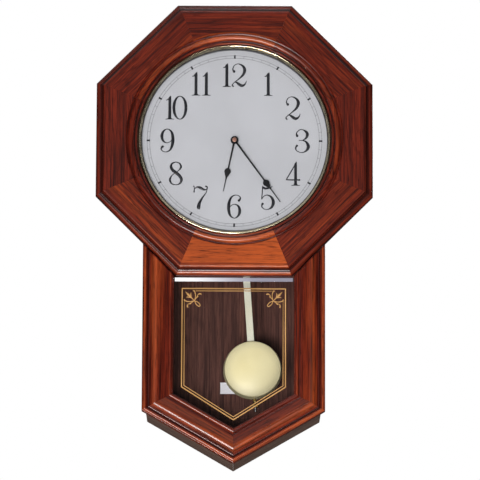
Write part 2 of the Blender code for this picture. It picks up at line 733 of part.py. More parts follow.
def train():
    """Motion work: centre arbor, intermediate wheel and hour wheel, with knob and hands."""
    module = 2 * GEAR_DISTANCE / (CANNON_TEETH + CHANGE_TEETH)
    hour_module = 2 * GEAR_DISTANCE / (CHANGE_PINION_TEETH + HOUR_TEETH)
    inside = MOVEMENT_FRONT - MOVEMENT_WALL
    hour_plane = (inside - 3.0, inside - 1.8)
    cannon_plane = (inside - 7.5, inside - 4.0)
    centre_plane = (inside - 10.5, inside - 9.3)

    centre = flat("centre_wheel", white_nylon(), [gear_outline(CENTRE_TEETH, CENTRE_MODULE)], centre_plane)
    cannon = flat("cannon", steel(), [gear_outline(CANNON_TEETH, module)], cannon_plane, hidden=True)
    nut_base = MINUTE_DEPTH + HAND_SHEET + GAP
    shaft = cylinder(ARBOR, MOVEMENT_REAR + 1.5, nut_base + 1.0)
    arbor = turned("arbor", steel(), shaft, steps=20, hidden=True)
    combine(centre, arbor, "UNION")
    combine(centre, cannon, "UNION")
    minute = hand("minute_hand", MINUTE_LENGTH, MINUTE_SPADE, 1.1, ARBOR + GAP, MINUTE_DEPTH, MINUTE_ANGLE)
    cap = [(0.0, nut_base + 1.9), (1.6, nut_base + 1.9), (2.7, nut_base + 1.2), (2.7, nut_base)]
    cap += [(ARBOR + GAP, nut_base), (ARBOR + GAP, nut_base + 1.3), (0.0, nut_base + 1.3)]
    nut = turned("hand_nut", brass(), cap, steps=24)
    carry(axis("minute_axis", (0.0, MINUTE_DEPTH, 0.0)), [centre, minute, nut])

    hour = flat("hour_wheel", white_nylon(), [gear_outline(HOUR_TEETH, hour_module)], hour_plane)
    stem = cylinder(HOUR_TUBE, hour_plane[0], HOUR_DEPTH + HAND_SHEET)
    pipe = turned("hour_pipe", white_nylon(), stem, steps=24, hidden=True)
    drill = cylinder(ARBOR + PIVOT_PLAY, hour_plane[0] - 5.0, HOUR_DEPTH + 5.0)
    bore = turned("hour_bore", white_nylon(), drill, steps=20, hidden=True)
    combine(hour, pipe, "UNION")
    combine(hour, bore)
    hour_hand = hand("hour_hand", HOUR_LENGTH, HOUR_SPADE, 1.1, HOUR_TUBE + GAP, HOUR_DEPTH, HOUR_ANGLE)
    carry(axis("hour_axis", (0.0, HOUR_DEPTH, 0.0)), [hour, hour_hand])

    at = (-GEAR_DISTANCE, 0.0)
    wheel_plane = (cannon_plane[0] + 0.8, cannon_plane[0] + 2.4)
    pinion_plane = (cannon_plane[1] + 0.4, inside - 1.2)
    outline = gear_outline(CHANGE_TEETH, module, 180.0 / CHANGE_TEETH)
    change = flat("intermediate_wheel", white_nylon(), [outline], wheel_plane, at)
    outline = gear_outline(CHANGE_PINION_TEETH, hour_module, 180.0 / CHANGE_PINION_TEETH)
    pinion = flat("change_pinion", white_nylon(), [outline], pinion_plane, at, hidden=True)
    stem = cylinder(CHANGE_ARBOR, COVER_REAR - 4.0, inside - 0.4)
    shaft = turned("change_arbor", steel(), stem, at, 16, hidden=True)
    combine(change, shaft, "UNION")
    combine(change, pinion, "UNION")
    knob_front = COVER_REAR - GAP
    bore = CHANGE_ARBOR + GAP
    grip = [(KNOB_RADIUS - 2.0, knob_front), (KNOB_RADIUS, knob_front - 1.0)]
    grip += [(KNOB_RADIUS, knob_front - KNOB_LENGTH), (bore, knob_front - KNOB_LENGTH), (bore, knob_front)]
    knob = turned("setting_knob", black_plastic(), grip, at, 28, ring=True)
    carry(axis("intermediate_axis", (at[0], wheel_plane[0], at[1])), [change, knob])


def movement():
    """Quartz pendulum movement: case, cover, battery, board, coils and rotor."""
    half = MOVEMENT_WIDTH / 2
    inside = half - MOVEMENT_WALL
    high = MOVEMENT_HIGH
    low = MOVEMENT_LOW
    wall = MOVEMENT_WALL
    rear = MOVEMENT_REAR
    tray = box("movement_case", black_plastic(), (-half, half), (rear, MOVEMENT_FRONT), (low, high))
    room = box(
        "movement_room",
        black_plastic(),
        (-inside, inside),
        (rear - 2.0, MOVEMENT_FRONT - wall),
        (low + wall, high - wall),
        hidden=True,
    )
    barrel = cylinder(BUSH, MOVEMENT_FRONT - 1.0, NUT_REAR + 1.7)
    bush = turned("bush", black_plastic(), barrel, steps=24, hidden=True)
    drill = cylinder(HOUR_TUBE + PIVOT_PLAY, MOVEMENT_FRONT - 5.0, NUT_REAR + 5.0)
    bore = turned("bush_bore", black_plastic(), drill, steps=24, hidden=True)
    combine(tray, room)
    combine(tray, bush, "UNION")
    combine(tray, bore)
    washer = tube(9.0, BUSH + GAP, MOVEMENT_FRONT + GAP, RAIL_REAR - GAP)
    turned("rubber_washer", material("black_rubber", (0.02, 0.02, 0.02), 0.8), washer, steps=32, ring=True)
    outline = [(-half, low), (half, low), (half, high), (-half, high)]
    holes = [circle(CHANGE_ARBOR + PIVOT_PLAY, 16, -GEAR_DISTANCE)]
    holes.append(circle(PIN_RADIUS + GAP, 20, 0.0, PIVOT_Z))
    flat("movement_cover", black_plastic(), [outline, *holes], (COVER_REAR, COVER_REAR + COVER))

    middle = (rear + MOVEMENT_FRONT - wall) / 2
    cell_z = low + wall + BATTERY_RADIUS + 1.0
    label = material("battery_sleeve", (0.5, 0.09, 0.05), 0.35)
    rod_x("battery", label, BATTERY_RADIUS, (-BATTERY_LENGTH / 2, BATTERY_LENGTH / 2), (middle, cell_z))
    for word, side in (("left", -1), ("right", 1)):
        near = BATTERY_LENGTH / 2 + 0.5
        across = sorted((side * near, side * (near + 0.4)))
        box(f"battery_contact_{word}", steel(), across, (middle - 4, middle + 4), (cell_z - 4, cell_z + 4))
    board = material("green_laminate", (0.03, 0.22, 0.1), 0.5)
    box("circuit_board", board, (11.0, inside - 1.0), (rear + 3.0, rear + 4.2), (-11.0, 14.0))
    rod_x("motor_coil", copper(), 3.6, (-22.0, -2.0), (middle, 16.0))
    magnet = [(0.0, middle + 5.0), (0.5, middle + 5.0), (0.5, middle + 2.0), (2.8, middle + 2.0)]
    magnet += [(2.8, middle - 2.0), (0.5, middle - 2.0), (0.5, middle - 5.0), (0.0, middle - 5.0)]
    at = (5.0, 16.0)
    rotor = turned("rotor", steel(), magnet, at, 24)
    carry(axis("rotor_axis", (at[0], middle, at[1])), [rotor])
    coil = tube(8.0, 3.0, rear + 1.0, rear + 8.0)
    turned("drive_coil", copper(), coil, (0.0, PIVOT_Z - 15.0), 32, ring=True)


# Pendulum


def pendulum():
    """Pendulum on its pin: strap, magnet, flat rod, bob in two pieces, stud and nut.

    Its pieces are drawn hanging straight down from the pin and are tilted together.
    """
    pin_front = MOVEMENT_REAR + 1.8
    seat = MOVEMENT_REAR + 0.2
    pin = [(0.0, pin_front), (2.8, pin_front), (2.8, seat), (PIN_RADIUS, seat)]
    pin += [(PIN_RADIUS, STRAP_DEPTH - 1.0), (2.6, STRAP_DEPTH - 1.0), (2.6, STRAP_DEPTH - 2.0)]
    pin += [(0.0, STRAP_DEPTH - 2.0)]
    turned("pivot_pin", steel(), pin, (0.0, PIVOT_Z), 20)

    swing = axis("pendulum_axis", (0.0, 0.0, PIVOT_Z), PENDULUM_TILT)
    half = STRAP_WIDTH / 2
    strap = arc(0.0, 0.0, half, 0, 180, 12) + [(-half, -STRAP_LENGTH), (half, -STRAP_LENGTH)]
    thickness = (STRAP_DEPTH, STRAP_DEPTH + STRAP)
    eye = circle(PIN_RADIUS + PIVOT_PLAY, 20)
    pieces = [flat("pendulum_strap", black_plastic(), [strap, eye], thickness)]
    puck = cylinder(4.0, ROD_DEPTH, ROD_DEPTH + 3.2)
    pieces.append(turned("pendulum_magnet", steel(), puck, (0.0, -15.0), 24))
    flat_end = -BOB_DROP - 20.0
    half = ROD_WIDTH / 2
    rod = [(-half, flat_end), (half, flat_end), (half, ROD_TOP), (-half, ROD_TOP)]
    pieces.append(flat("pendulum_rod", pale_brass(), [rod], (ROD_DEPTH, ROD_DEPTH + ROD)))
    pieces += bob()
    stud_end = -BOB_DROP - BOB_RADIUS - NUT_DROP - 9.0
    at = (0.0, PENDULUM_PLANE)
    thread = cylinder(STUD, stud_end, flat_end - GAP)
    stud = turned("rating_stud", steel(), thread, at, 16, upright=True)
    neck = -BOB_DROP - BOB_RADIUS - GAP
    head = neck - NUT_DROP
    profile = [(2.4, neck), (2.4, head), (NUT_RADIUS, head), (NUT_RADIUS, head - 3.6)]
    profile += [(STUD + GAP, head - 3.6), (STUD + GAP, neck)]
    nut = turned("rating_nut", brass(), profile, at, 20, ring=True, upright=True)
    for thing in pieces + [stud, nut]:
        thing.parent = swing


def bob():
    """Drawn brass bob with a domed face, open at the back, and its back plate."""
    rim = PENDULUM_PLANE - 2.0
    face = rim + BOB_DEPTH
    slack = BOB_SHEET
    radius = (BOB_FACE**2 + BOB_DOME**2) / (2 * BOB_DOME)
    spread = math.degrees(math.asin((BOB_FACE - 1.0) / radius))
    outer = arc(0.0, face - radius, radius, 90, 90 - spread, 5)
    edge = outer[-1][1] - 1.2
    outside = [*outer, (BOB_FACE, edge), (BOB_RADIUS, rim)]
    inner = arc(0.0, face - radius, radius - slack, 90 - spread, 90, 5)
    inside = [(BOB_RADIUS - slack, rim), (BOB_FACE - slack, edge), *inner]
    profile = outside + inside
    profile[0] = (0.0, face)
    profile[-1] = (0.0, face - slack)
    shell = turned("bob_shell", pale_brass(), profile, (0.0, -BOB_DROP), 40)
    half = ROD_WIDTH / 2 + GAP
    slot = box(
        "bob_slot",
        pale_brass(),
        (-half, half),
        (rim - 3.0, PENDULUM_PLANE + STUD + GAP),
        (-BOB_DROP - BOB_RADIUS - 5.0, -BOB_DROP + BOB_RADIUS + 5.0),
        hidden=True,
    )
    slot.parent = shell
    slot.matrix_parent_inverse = shell.matrix_basis.inverted()
    combine(shell, slot)
    plate = cylinder(BOB_RADIUS - 0.3, STRAP_DEPTH - 0.6, rim - GAP)
    back = turned("bob_back", pale_brass(), plate, (0.0, -BOB_DROP), 40)
    return [shell, back]


def main():
    start()
    octagon()
    case()
    door()
    dial()
    movement()
    train()
    pendulum()
    bpy.context.view_layer.update()


main()
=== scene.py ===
"""Octagonal wall clock with a pointed trunk and a pendulum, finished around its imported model.

The clock hangs on the wall y = 0 and faces -Y, with x to the viewer's right and z up.
Shapes are worked out in millimetres as (x, depth, z), where depth is the distance off the
wall, and become metres when their mesh is made.
"""

import math

import bmesh
import bpy
import numpy as np
from mathutils import Matrix, Vector


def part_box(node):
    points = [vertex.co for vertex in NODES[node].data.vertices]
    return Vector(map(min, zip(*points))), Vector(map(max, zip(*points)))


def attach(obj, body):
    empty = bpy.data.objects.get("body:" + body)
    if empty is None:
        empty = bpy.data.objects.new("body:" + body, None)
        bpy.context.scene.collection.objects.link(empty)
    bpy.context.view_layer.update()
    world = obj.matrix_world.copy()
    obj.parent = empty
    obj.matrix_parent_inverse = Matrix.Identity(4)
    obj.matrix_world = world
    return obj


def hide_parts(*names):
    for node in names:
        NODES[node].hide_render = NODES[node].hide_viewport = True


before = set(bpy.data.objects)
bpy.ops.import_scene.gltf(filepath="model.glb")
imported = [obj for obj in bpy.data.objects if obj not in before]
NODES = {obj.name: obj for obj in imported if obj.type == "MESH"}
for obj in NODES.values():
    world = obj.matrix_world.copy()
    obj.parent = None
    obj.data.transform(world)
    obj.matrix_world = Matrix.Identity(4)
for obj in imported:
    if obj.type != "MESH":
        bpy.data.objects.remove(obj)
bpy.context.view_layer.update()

bl_info = {
    "name": "Octagonal wall clock",
    "version": (1, 0, 0),
    "blender": (4, 5, 0),
    "location": "3D View > Sidebar > Clock",
    "description": "Makes the pieces and finishes of an octagonal wall clock with a pendulum",
    "category": "Add Mesh",
}

MM = 0.001
SHY = 0.04  # each side of a mitre joint stays this far from it


def span(node, axis):
    """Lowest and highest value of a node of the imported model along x, depth or z, in mm."""
    low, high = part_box(node)
    if axis == "depth":
        return -high.y / MM, -low.y / MM
    return getattr(low, axis) / MM, getattr(high, axis) / MM


BOARD_REAR, BOARD_FACE = span("octagon_rail_1", "depth")
DOOR_REAR, DOOR_FACE = span("door_stile_right", "depth")
DIAL_FACE = span("dial_plate", "depth")[1]
GLASS_FACE = span("door_glass", "depth")[1]
CASE_DEPTH = span("case_side_left", "depth")[1]
PIVOT_Z = 52.0  # height of the pendulum's pin
BOB_DROP = 325.0  # from the pin down to the middle of the bob
TILT = math.radians(4.02)  # the pendulum's lean at rest
POINT = math.radians(30)  # slope of the two lower members of the case and of the door
DOOR_TIP = -389.0  # height of the door's lower point
STILE_CUT = 166.3  # from the dial's middle square out to the slanted upper ends of the stiles
RAIL_STEPS = 49  # sections along a rail of the octagon


def metres(value, text, name):
    """A length property in metres."""
    return bpy.props.FloatProperty(name=name, description=text, default=value, unit="LENGTH", precision=4)


def colour(value, text, name):
    """A colour property with its four parts."""
    return bpy.props.FloatVectorProperty(
        name=name, description=text, default=(*value, 1.0), size=4, min=0.0, max=1.0, subtype="COLOR"
    )


def share(value, text, name):
    """A property between none and all."""
    return bpy.props.FloatProperty(
        name=name, description=text, default=value, min=0.0, max=1.0, subtype="FACTOR"
    )


class ClockSizes(bpy.types.PropertyGroup):
    """Sizes of the clock's mouldings, dial, hands, printing and pendulum."""

    ring_radius: metres(0.1271, "Outer radius of the round bead about the dial", "Round bead")
    bezel_radius: metres(0.115, "Outer radius of the brass bezel", "Bezel")
    numeral_height: metres(0.0288, "Height of the numerals on the dial", "Numeral height")
    numeral_circle: metres(0.0803, "Radius of the circle through the numerals", "Numeral circle")
    track_inner: metres(0.1012, "Radius of the inner line of the minute track", "Inner track line")
    track_outer: metres(0.1043, "Radius of the outer line of the minute track", "Outer track line")
    minute_length: metres(0.0934, "Length of the minute hand", "Minute hand")
    hour_length: metres(0.0638, "Length of the hour hand", "Hour hand")
    border_half: metres(0.0613, "Half the width of the gilt border on the door glass", "Border half width")
    border_width: metres(0.0014, "Width of the outer gilt line", "Border line")
    bob_radius: metres(0.035, "Radius of the pendulum bob", "Bob")


class ClockFinishes(bpy.types.PropertyGroup):
    """Colours and gloss of the clock's materials."""

    oak_light: colour((0.52, 0.095, 0.018), "Lightest streaks of the stained oak", "Oak, light")
    oak_middle: colour((0.15, 0.0165, 0.007), "Body colour of the stained oak", "Oak, middle")
    oak_dark: colour((0.02, 0.0028, 0.0018), "Pores and dark figure of the stained oak", "Oak, dark")
    veneer_light: colour((0.21, 0.092, 0.066), "Light bands of the dark veneer", "Veneer, light")
    veneer_dark: colour((0.15, 0.062, 0.046), "Dark bands of the dark veneer", "Veneer, dark")
    brass: colour((0.72, 0.52, 0.2), "Lacquered brass", "Brass")
    pale_brass: colour((1.0, 0.92, 0.54), "Pale brass of the bob", "Pale brass")
    dial: colour((0.53, 0.545, 0.563), "Enamelled dial", "Dial")
    ink: colour((0.006, 0.007, 0.011), "Printed numerals and track", "Dial ink")
    gilt: colour((0.56, 0.3, 0.1), "Gilt printing on the door glass", "Gilt")
    gloss: share(0.7, "How much clear lacquer lies on the wood", "Lacquer")


# Curves in the plane


def arc(x, y, radius, first, last, count=7):
    """Points on a circle about (x, y) at equal steps from one angle to the other, in degrees."""
    angle = np.radians(np.linspace(first, last, count))
    return np.column_stack((x + radius * np.cos(angle), y + radius * np.sin(angle)))


def joined(*runs):
    """One run of points from several runs and single points."""
    return np.vstack([np.reshape(np.asarray(run, float), (-1, 2)) for run in runs])


def smooth(knots, count=48):
    """A curve through the knots: a cubic with the slope at each knot half the step across it."""
    knots = np.asarray(knots, float)
    padded = np.vstack((2 * knots[0] - knots[1], knots, 2 * knots[-1] - knots[-2]))
    place = np.linspace(0, len(knots) - 1, count)
    first = np.minimum(place.astype(int), len(knots) - 2)
    t = (place - first)[:, None]
    a, b, c, d = (padded[first + k] for k in range(4))
    return 0.5 * (2 * b + (c - a) * t + (2 * a - 5 * b + 4 * c - d) * t**2 + (3 * b - a - 3 * c + d) * t**3)


# Surfaces: a grid of points of shape (rows, columns, 3) in mm


def placed(x, depth, z):
    """A grid from its three coordinates, each spread over the whole grid."""
    return np.stack(np.broadcast_arrays(x, depth, z), axis=-1).astype(float)


def turned(profile, at=(0.0, 0.0), steps=96, upright=False, ripple=None):
    """A profile of (radius, height) turned about an axis: x = radius cos a, z = radius sin a, and
    height is the depth; upright turns it about a vertical axis at (x, depth). A ripple is a
    function of angle and row that is added to the radius."""
    angle = np.linspace(0, 2 * math.pi, steps, endpoint=False)[None, :]
    profile = np.asarray(profile, float)
    radius = profile[:, 0:1] + (0 if ripple is None else ripple(angle, profile[:, 1:2]))
    across = at[0] + radius * np.cos(angle)
    other = at[1] + radius * np.sin(angle)
    if upright:
        return placed(across, other, profile[:, 1:2])
    return placed(across, profile[:, 1:2], other)


def between(first, last, rows=2):
    """Straight sweep: each point of the first section goes straight to its match in the last."""
    t = np.linspace(0, 1, rows)[:, None, None]
    return first[None] * (1 - t) + last[None] * t


def ribbon(knots, depth, steps=48, scale=1.0, shift=(0.0, 0.0)):
    """A flat stroke of changing width: knots are (x, z, half width), and each point of the curve
    through them moves along its normal by plus and minus the half width."""
    curve = smooth(knots, steps)
    middle = curve[:, :2] * scale + np.asarray(shift)
    half = np.maximum(curve[:, 2:3], 0.004) * scale
    slope = np.gradient(middle, axis=0)
    normal = np.column_stack((-slope[:, 1], slope[:, 0]))
    normal /= np.maximum(np.linalg.norm(normal, axis=1, keepdims=True), 1e-9)
    side = np.array((-1.0, 1.0))[None, :, None]
    flat = middle[:, None] + side * half[:, None] * normal[:, None]
    return placed(flat[..., 0], depth, flat[..., 1])


def spot(x, z, radius, depth, steps=20):
    """A flat round spot: rings that shrink to its centre."""
    radius, angle = np.meshgrid((0.0, radius), np.linspace(0, 2 * math.pi, steps + 1), indexing="ij")
    return placed(x + radius * np.cos(angle), depth, z + radius * np.sin(angle))


def band(path, half, depth, closed=False):
    """A flat line of even width with mitred corners: each corner moves along the bisector of its
    two edges by the half width over the cosine of half the turn."""
    path = np.asarray(path, float)
    ahead = np.roll(path, -1, axis=0) - path
    ahead /= np.linalg.norm(ahead, axis=1, keepdims=True)
    behind = np.roll(ahead, 1, axis=0)
    if not closed:
        ahead[-1] = ahead[-2]
        behind[0] = ahead[0]
    here = np.column_stack((-ahead[:, 1], ahead[:, 0]))
    before = np.column_stack((-behind[:, 1], behind[:, 0]))
    bisector = (here + before) / (1 + np.sum(here * before, axis=1, keepdims=True))
    flat = path[:, None] + np.array((-half, half))[None, :, None] * bisector[:, None]
    if closed:
        flat = np.concatenate((flat, flat[:1]))
    return placed(flat[..., 0], depth, flat[..., 1])


def hanging(points):
    """Points drawn under the pendulum's pin, tilted with it: a turn about the pin by the tilt."""
    x = points[..., 0]
    z = points[..., 2] - PIVOT_Z
    across = x * math.cos(TILT) - z * math.sin(TILT)
    up = PIVOT_Z + z * math.cos(TILT) + x * math.sin(TILT)
    return placed(across, points[..., 1], up)


def faces_of(rows, columns, around, along):
    """Quads of a grid as index arrays; around joins the last column to the first, and along the
    last row to the first."""
    i = np.arange(rows if along else rows - 1)[:, None]
    j = np.arange(columns if around else columns - 1)[None, :]
    low = i * columns
    high = ((i + 1) % rows) * columns
    right = (j + 1) % columns
    corners = np.broadcast_arrays(low + j, high + j, high + right, low + right)
    return np.stack(corners, axis=-1).reshape(-1, 4)


def piece(name, grids, finish, body, stands_for=(), around=True, along=False, caps=False,
          sharp=35.0, grain=None, tone=None):
    """Makes one object from its grids, gives it its finish and puts it on its body.

    Its doubles are merged, and each closed shell is turned the right way out by the sign of its volume; an
    open sheet is turned to face -Y. grain is a function that gives the wood's own coordinates (along,
    across, deep) of each point in metres, and tone how light the piece is at each point, painted light and
    shade included.
    """
    mesh = bpy.data.meshes.new(name)
    corners, quads, ends, start = [], [], [], 0
    for grid in grids:
        rows, columns = grid.shape[:2]
        corners.append(grid.reshape(-1, 3))
        quads.append(faces_of(rows, columns, around, along) + start)
        if caps:
            ring = np.arange(columns) + start
            ends.append(ring)
            ends.append(ring[::-1] + (rows - 1) * columns)
        start += rows * columns
    points = np.concatenate(corners)
    world = np.column_stack((points[:, 0], -points[:, 1], points[:, 2])) * MM
    faces = np.concatenate(quads).tolist() + [end.tolist() for end in ends]
    mesh.from_pydata(world.tolist(), [], faces)
    if grain is not None:
        values = mesh.attributes.new("grain", "FLOAT_VECTOR", "POINT")
        values.data.foreach_set("vector", np.asarray(grain(points), np.float32).ravel())
    if tone is not None:
        values = mesh.attributes.new("tone", "FLOAT", "POINT")
        values.data.foreach_set("value", np.broadcast_to(np.ravel(tone), len(points)).astype(np.float32))
    tidy = bmesh.new()
    tidy.from_mesh(mesh)
    bmesh.ops.remove_doubles(tidy, verts=tidy.verts, dist=1e-7)
    flat = [face for face in tidy.faces if face.calc_area() < 1e-14]
    bmesh.ops.delete(tidy, geom=flat, context="FACES")
    if any(edge.is_boundary for edge in tidy.edges):
        wrong = sum(face.normal.y * face.calc_area() for face in tidy.faces) > 0
    else:
        bmesh.ops.recalc_face_normals(tidy, faces=tidy.faces)
        wrong = tidy.calc_volume(signed=True) < 0
    if wrong:
        bmesh.ops.reverse_faces(tidy, faces=tidy.faces)
    tidy.to_mesh(mesh)
    tidy.free()
    mesh.polygons.foreach_set("use_smooth", np.ones(len(mesh.polygons), bool))
    mesh.set_sharp_from_angle(angle=math.radians(sharp))
    made = bpy.data.objects.new(name, mesh)
    bpy.context.scene.collection.objects.link(made)
    mesh.materials.append(finish)
    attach(made, body)
    if stands_for:
        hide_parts(*stands_for)
    return made


def eased(made, width, segments=2):
    """Rounds a piece's sharp edges by a small width in mm."""
    ease = made.modifiers.new("eased_edges", "BEVEL")
    ease.width = width * MM
    ease.segments = segments
    ease.limit_method = "ANGLE"
    ease.angle_limit = math.radians(40)
    return made


def thickened(made, thickness):
    """Gives a printed sheet its thickness in mm, in front of where it was drawn."""
    coat = made.modifiers.new("thickness", "SOLIDIFY")
    coat.thickness = thickness * MM
    coat.offset = 1.0
    return made


def board(outline, low, high):
    """A flat board: its outline of (x, z) at two depths."""
    outline = np.asarray(outline, float)
    section = placed(outline[:, 0], low, outline[:, 1])
    other = placed(outline[:, 0], high, outline[:, 1])
    return between(section, other)


def grained(angle, seed):
    """Wood coordinates for a piece whose grain runs at this angle in the plane of the wall:
    along = x cos a + z sin a, across = z cos a - x sin a and deep = depth, moved by the seed."""
    a = math.radians(angle)

    def coordinates(points):
        along = points[:, 0] * math.cos(a) + points[:, 2] * math.sin(a)
        across = points[:, 2] * math.cos(a) - points[:, 0] * math.sin(a)
        moved = np.array((0.371, 0.113, 0.071)) * seed
        return np.column_stack((along, across, points[:, 1])) * MM + moved

    return coordinates


# Finishes


class Value:
    """An output of a shader node, on which arithmetic adds Math nodes."""

    def __init__(self, finish, socket):
        self.finish = finish
        self.socket = socket

    def math(self, operation, *others):
        """This value and others through one Math node."""
        return self.finish.node("ShaderNodeMath", {"operation": operation}, (self, *others))

    def __add__(self, other):
        return self.math("ADD", other)

    def __sub__(self, other):
        return self.math("SUBTRACT", other)

    def __mul__(self, other):
        return self.math("MULTIPLY", other)

    def __truediv__(self, other):
        return self.math("DIVIDE", other)

    def __pow__(self, other):
        return self.math("POWER", other)

    __radd__ = __add__
    __rmul__ = __mul__

    def ranged(self, low, high, first=0.0, last=1.0):
        """Maps low..high to first..last with a smooth step, and holds at the ends."""
        settings = {"interpolation_type": "SMOOTHSTEP", "clamp": True}
        return self.finish.node("ShaderNodeMapRange", settings, (self, low, high, first, last))


class Finish:
    """A material with one Principled shader, and a method that adds any other node to it."""

    def __init__(self, name, **constants):
        self.material = bpy.data.materials.new(name)
        self.material.use_nodes = True
        self.tree = self.material.node_tree
        self.shader = self.tree.nodes["Principled BSDF"]
        self.output = self.tree.nodes["Material Output"]
        for socket, value in constants.items():
            self.shader.inputs[socket.replace("_", " ")].default_value = value

    def node(self, kind, settings=None, inputs=(), output=0):
        """Adds a node with its settings, then the values or links of its sockets, and gives one
        of its outputs. Sockets go by name or by place, and None leaves one alone."""
        made = self.tree.nodes.new(kind)
        for key, value in (settings or {}).items():
            setattr(made, key, value)
        pairs = inputs.items() if isinstance(inputs, dict) else enumerate(inputs)
        for key, value in pairs:
            if isinstance(value, Value):
                self.tree.links.new(value.socket, made.inputs[key])
            elif value is not None:
                made.inputs[key].default_value = value
        return Value(self, made.outputs[output])

    def place(self, grain=False):
        """Object coordinates, or the wood's own coordinates that the piece carries."""
        if grain:
            return self.node("ShaderNodeAttribute", {"attribute_name": "grain"}, output=1)
        return self.node("ShaderNodeTexCoord", output=3)

    def parts(self, vector):
        """The three parts of a vector, each as a number."""
        made = self.tree.nodes.new("ShaderNodeSeparateXYZ")
        self.tree.links.new(vector.socket, made.inputs[0])
        return [Value(self, made.outputs[k]) for k in range(3)]

    def whole(self, *parts):
        """A vector from three numbers."""
        return self.node("ShaderNodeCombineXYZ", inputs=parts)

    def scaled(self, vector, factors):
        """A vector with each part times its factor."""
        return self.node("ShaderNodeVectorMath", {"operation": "MULTIPLY"}, (vector, factors))

    def noise(self, vector, scale=1.0, detail=2.0, roughness=0.5, distortion=0.0):
        """Fractal noise between none and all at each point."""
        inputs = {"Vector": vector, "Scale": scale, "Detail": detail}
        inputs.update({"Roughness": roughness, "Distortion": distortion})
        return self.node("ShaderNodeTexNoise", None, inputs)

    def mixed(self, factor, first, last):
        """One colour into another by a factor."""
        return self.node("ShaderNodeMix", {"data_type": "RGBA"}, {0: factor, 6: first, 7: last}, 2)

    def feeds(self, socket, value):
        """Links a value to a socket of the shader."""
        self.tree.links.new(value.socket, self.shader.inputs[socket])

    def bumped(self, height, distance, strength=1.0):
        """Raises the surface by a height pattern, with its full depth in metres."""
        inputs = {"Strength": strength, "Distance": distance, "Height": height}
        self.feeds("Normal", self.node("ShaderNodeBump", None, inputs))


def wood(name, light, middle, dark, lacquer, grain=True, across_first=False, fineness=1.0, roughness=0.24):
    """Stained open-grained wood: long wavy bands, contour lines of a slow noise as figure, short
    dark pores along the grain, and clear lacquer over them."""
    made = Finish(name, Coat_Roughness=0.24, Coat_IOR=1.55)
    made.shader.inputs["Coat Weight"].default_value = lacquer
    made.shader.inputs["Specular IOR Level"].default_value = 0.06
    place = made.place(grain)
    if not grain:
        x, y, z = made.parts(place)
        place = made.whole(z, x, y) if across_first else made.whole(x, z, y)
    slow = tuple(factor * fineness for factor in (1.2, 9.0, 9.0))
    broad = tuple(factor * fineness for factor in (2.4, 17.0, 11.0))
    drift = made.noise(made.scaled(place, slow), 5.0, 3.0, 0.55, 0.3)
    figure = made.noise(made.scaled(place, broad), 1.0, 2.0)
    rings = ((figure * 46.0 + drift * 5.0) * math.pi).math("SINE") * 0.5 + 0.5
    streaks = made.noise(made.scaled(place, (11.0, 430.0, 430.0)), 1.0, 4.0, 0.65)
    pores = made.noise(made.scaled(place, (60.0, 1300.0, 1300.0)), 1.0, 2.0, 0.6).ranged(0.52, 0.66)
    flame = made.noise(made.scaled(place, (6.0, 42.0, 42.0)), 1.0, 2.0).ranged(0.36, 0.7)
    lines = rings.ranged(0.0, 0.42, 1.0, 0.0) * (drift * 1.5 - 0.1)
    body = made.mixed(streaks.ranged(0.28, 0.66), dark, middle)
    if grain:
        tone = made.node("ShaderNodeAttribute", {"attribute_name": "tone"}, output=2)
        # tone holds each piece's own lightness with painted light and shade added: it lifts the light
        # streaks where it is high, and where it falls far below nothing it deepens the dark lines as
        # painted shade.
        lift = (flame * 0.25 + streaks * 0.6 + tone - 0.38).ranged(0.0, 1.0)
        lines = lines + tone.ranged(-1.2, -0.35, 2.2, 0.0)
    else:
        lift = (flame * 0.5 + streaks * 0.5 - 0.4).ranged(0.0, 1.0)
    body = made.mixed(lift, body, light)
    body = made.mixed((lines * 0.42 + pores * 0.6).ranged(0.0, 1.0, 0.0, 0.88), body, dark)
    made.feeds("Base Color", body)
    made.feeds("Roughness", streaks.ranged(0.2, 0.8, roughness + 0.1, roughness - 0.06))
    made.bumped(streaks * 0.6 - pores, 0.00005, 0.1)
    return made.material


def metal(name, tint, roughness, brushed=(300.0, 300.0, 300.0), tarnish=0.12):
    """Metal with fine brushing, and cloudy dull areas in its lacquer."""
    made = Finish(name, Metallic=1.0)
    place = made.place()
    lines = made.noise(made.scaled(place, brushed), 1.0, 3.0, 0.6)
    cloud = made.noise(place, 38.0, 3.0, 0.6)
    dull = tuple(part * 0.72 for part in tint[:3]) + (1.0,)
    made.feeds("Base Color", made.mixed(cloud.ranged(0.45, 0.8, 0.0, tarnish * 4), tint, dull))
    made.feeds("Roughness", lines.ranged(0.2, 0.8, roughness * 0.75, roughness * 1.3) + cloud * 0.04)
    made.bumped(lines, 0.00002, 0.25)
    return made.material


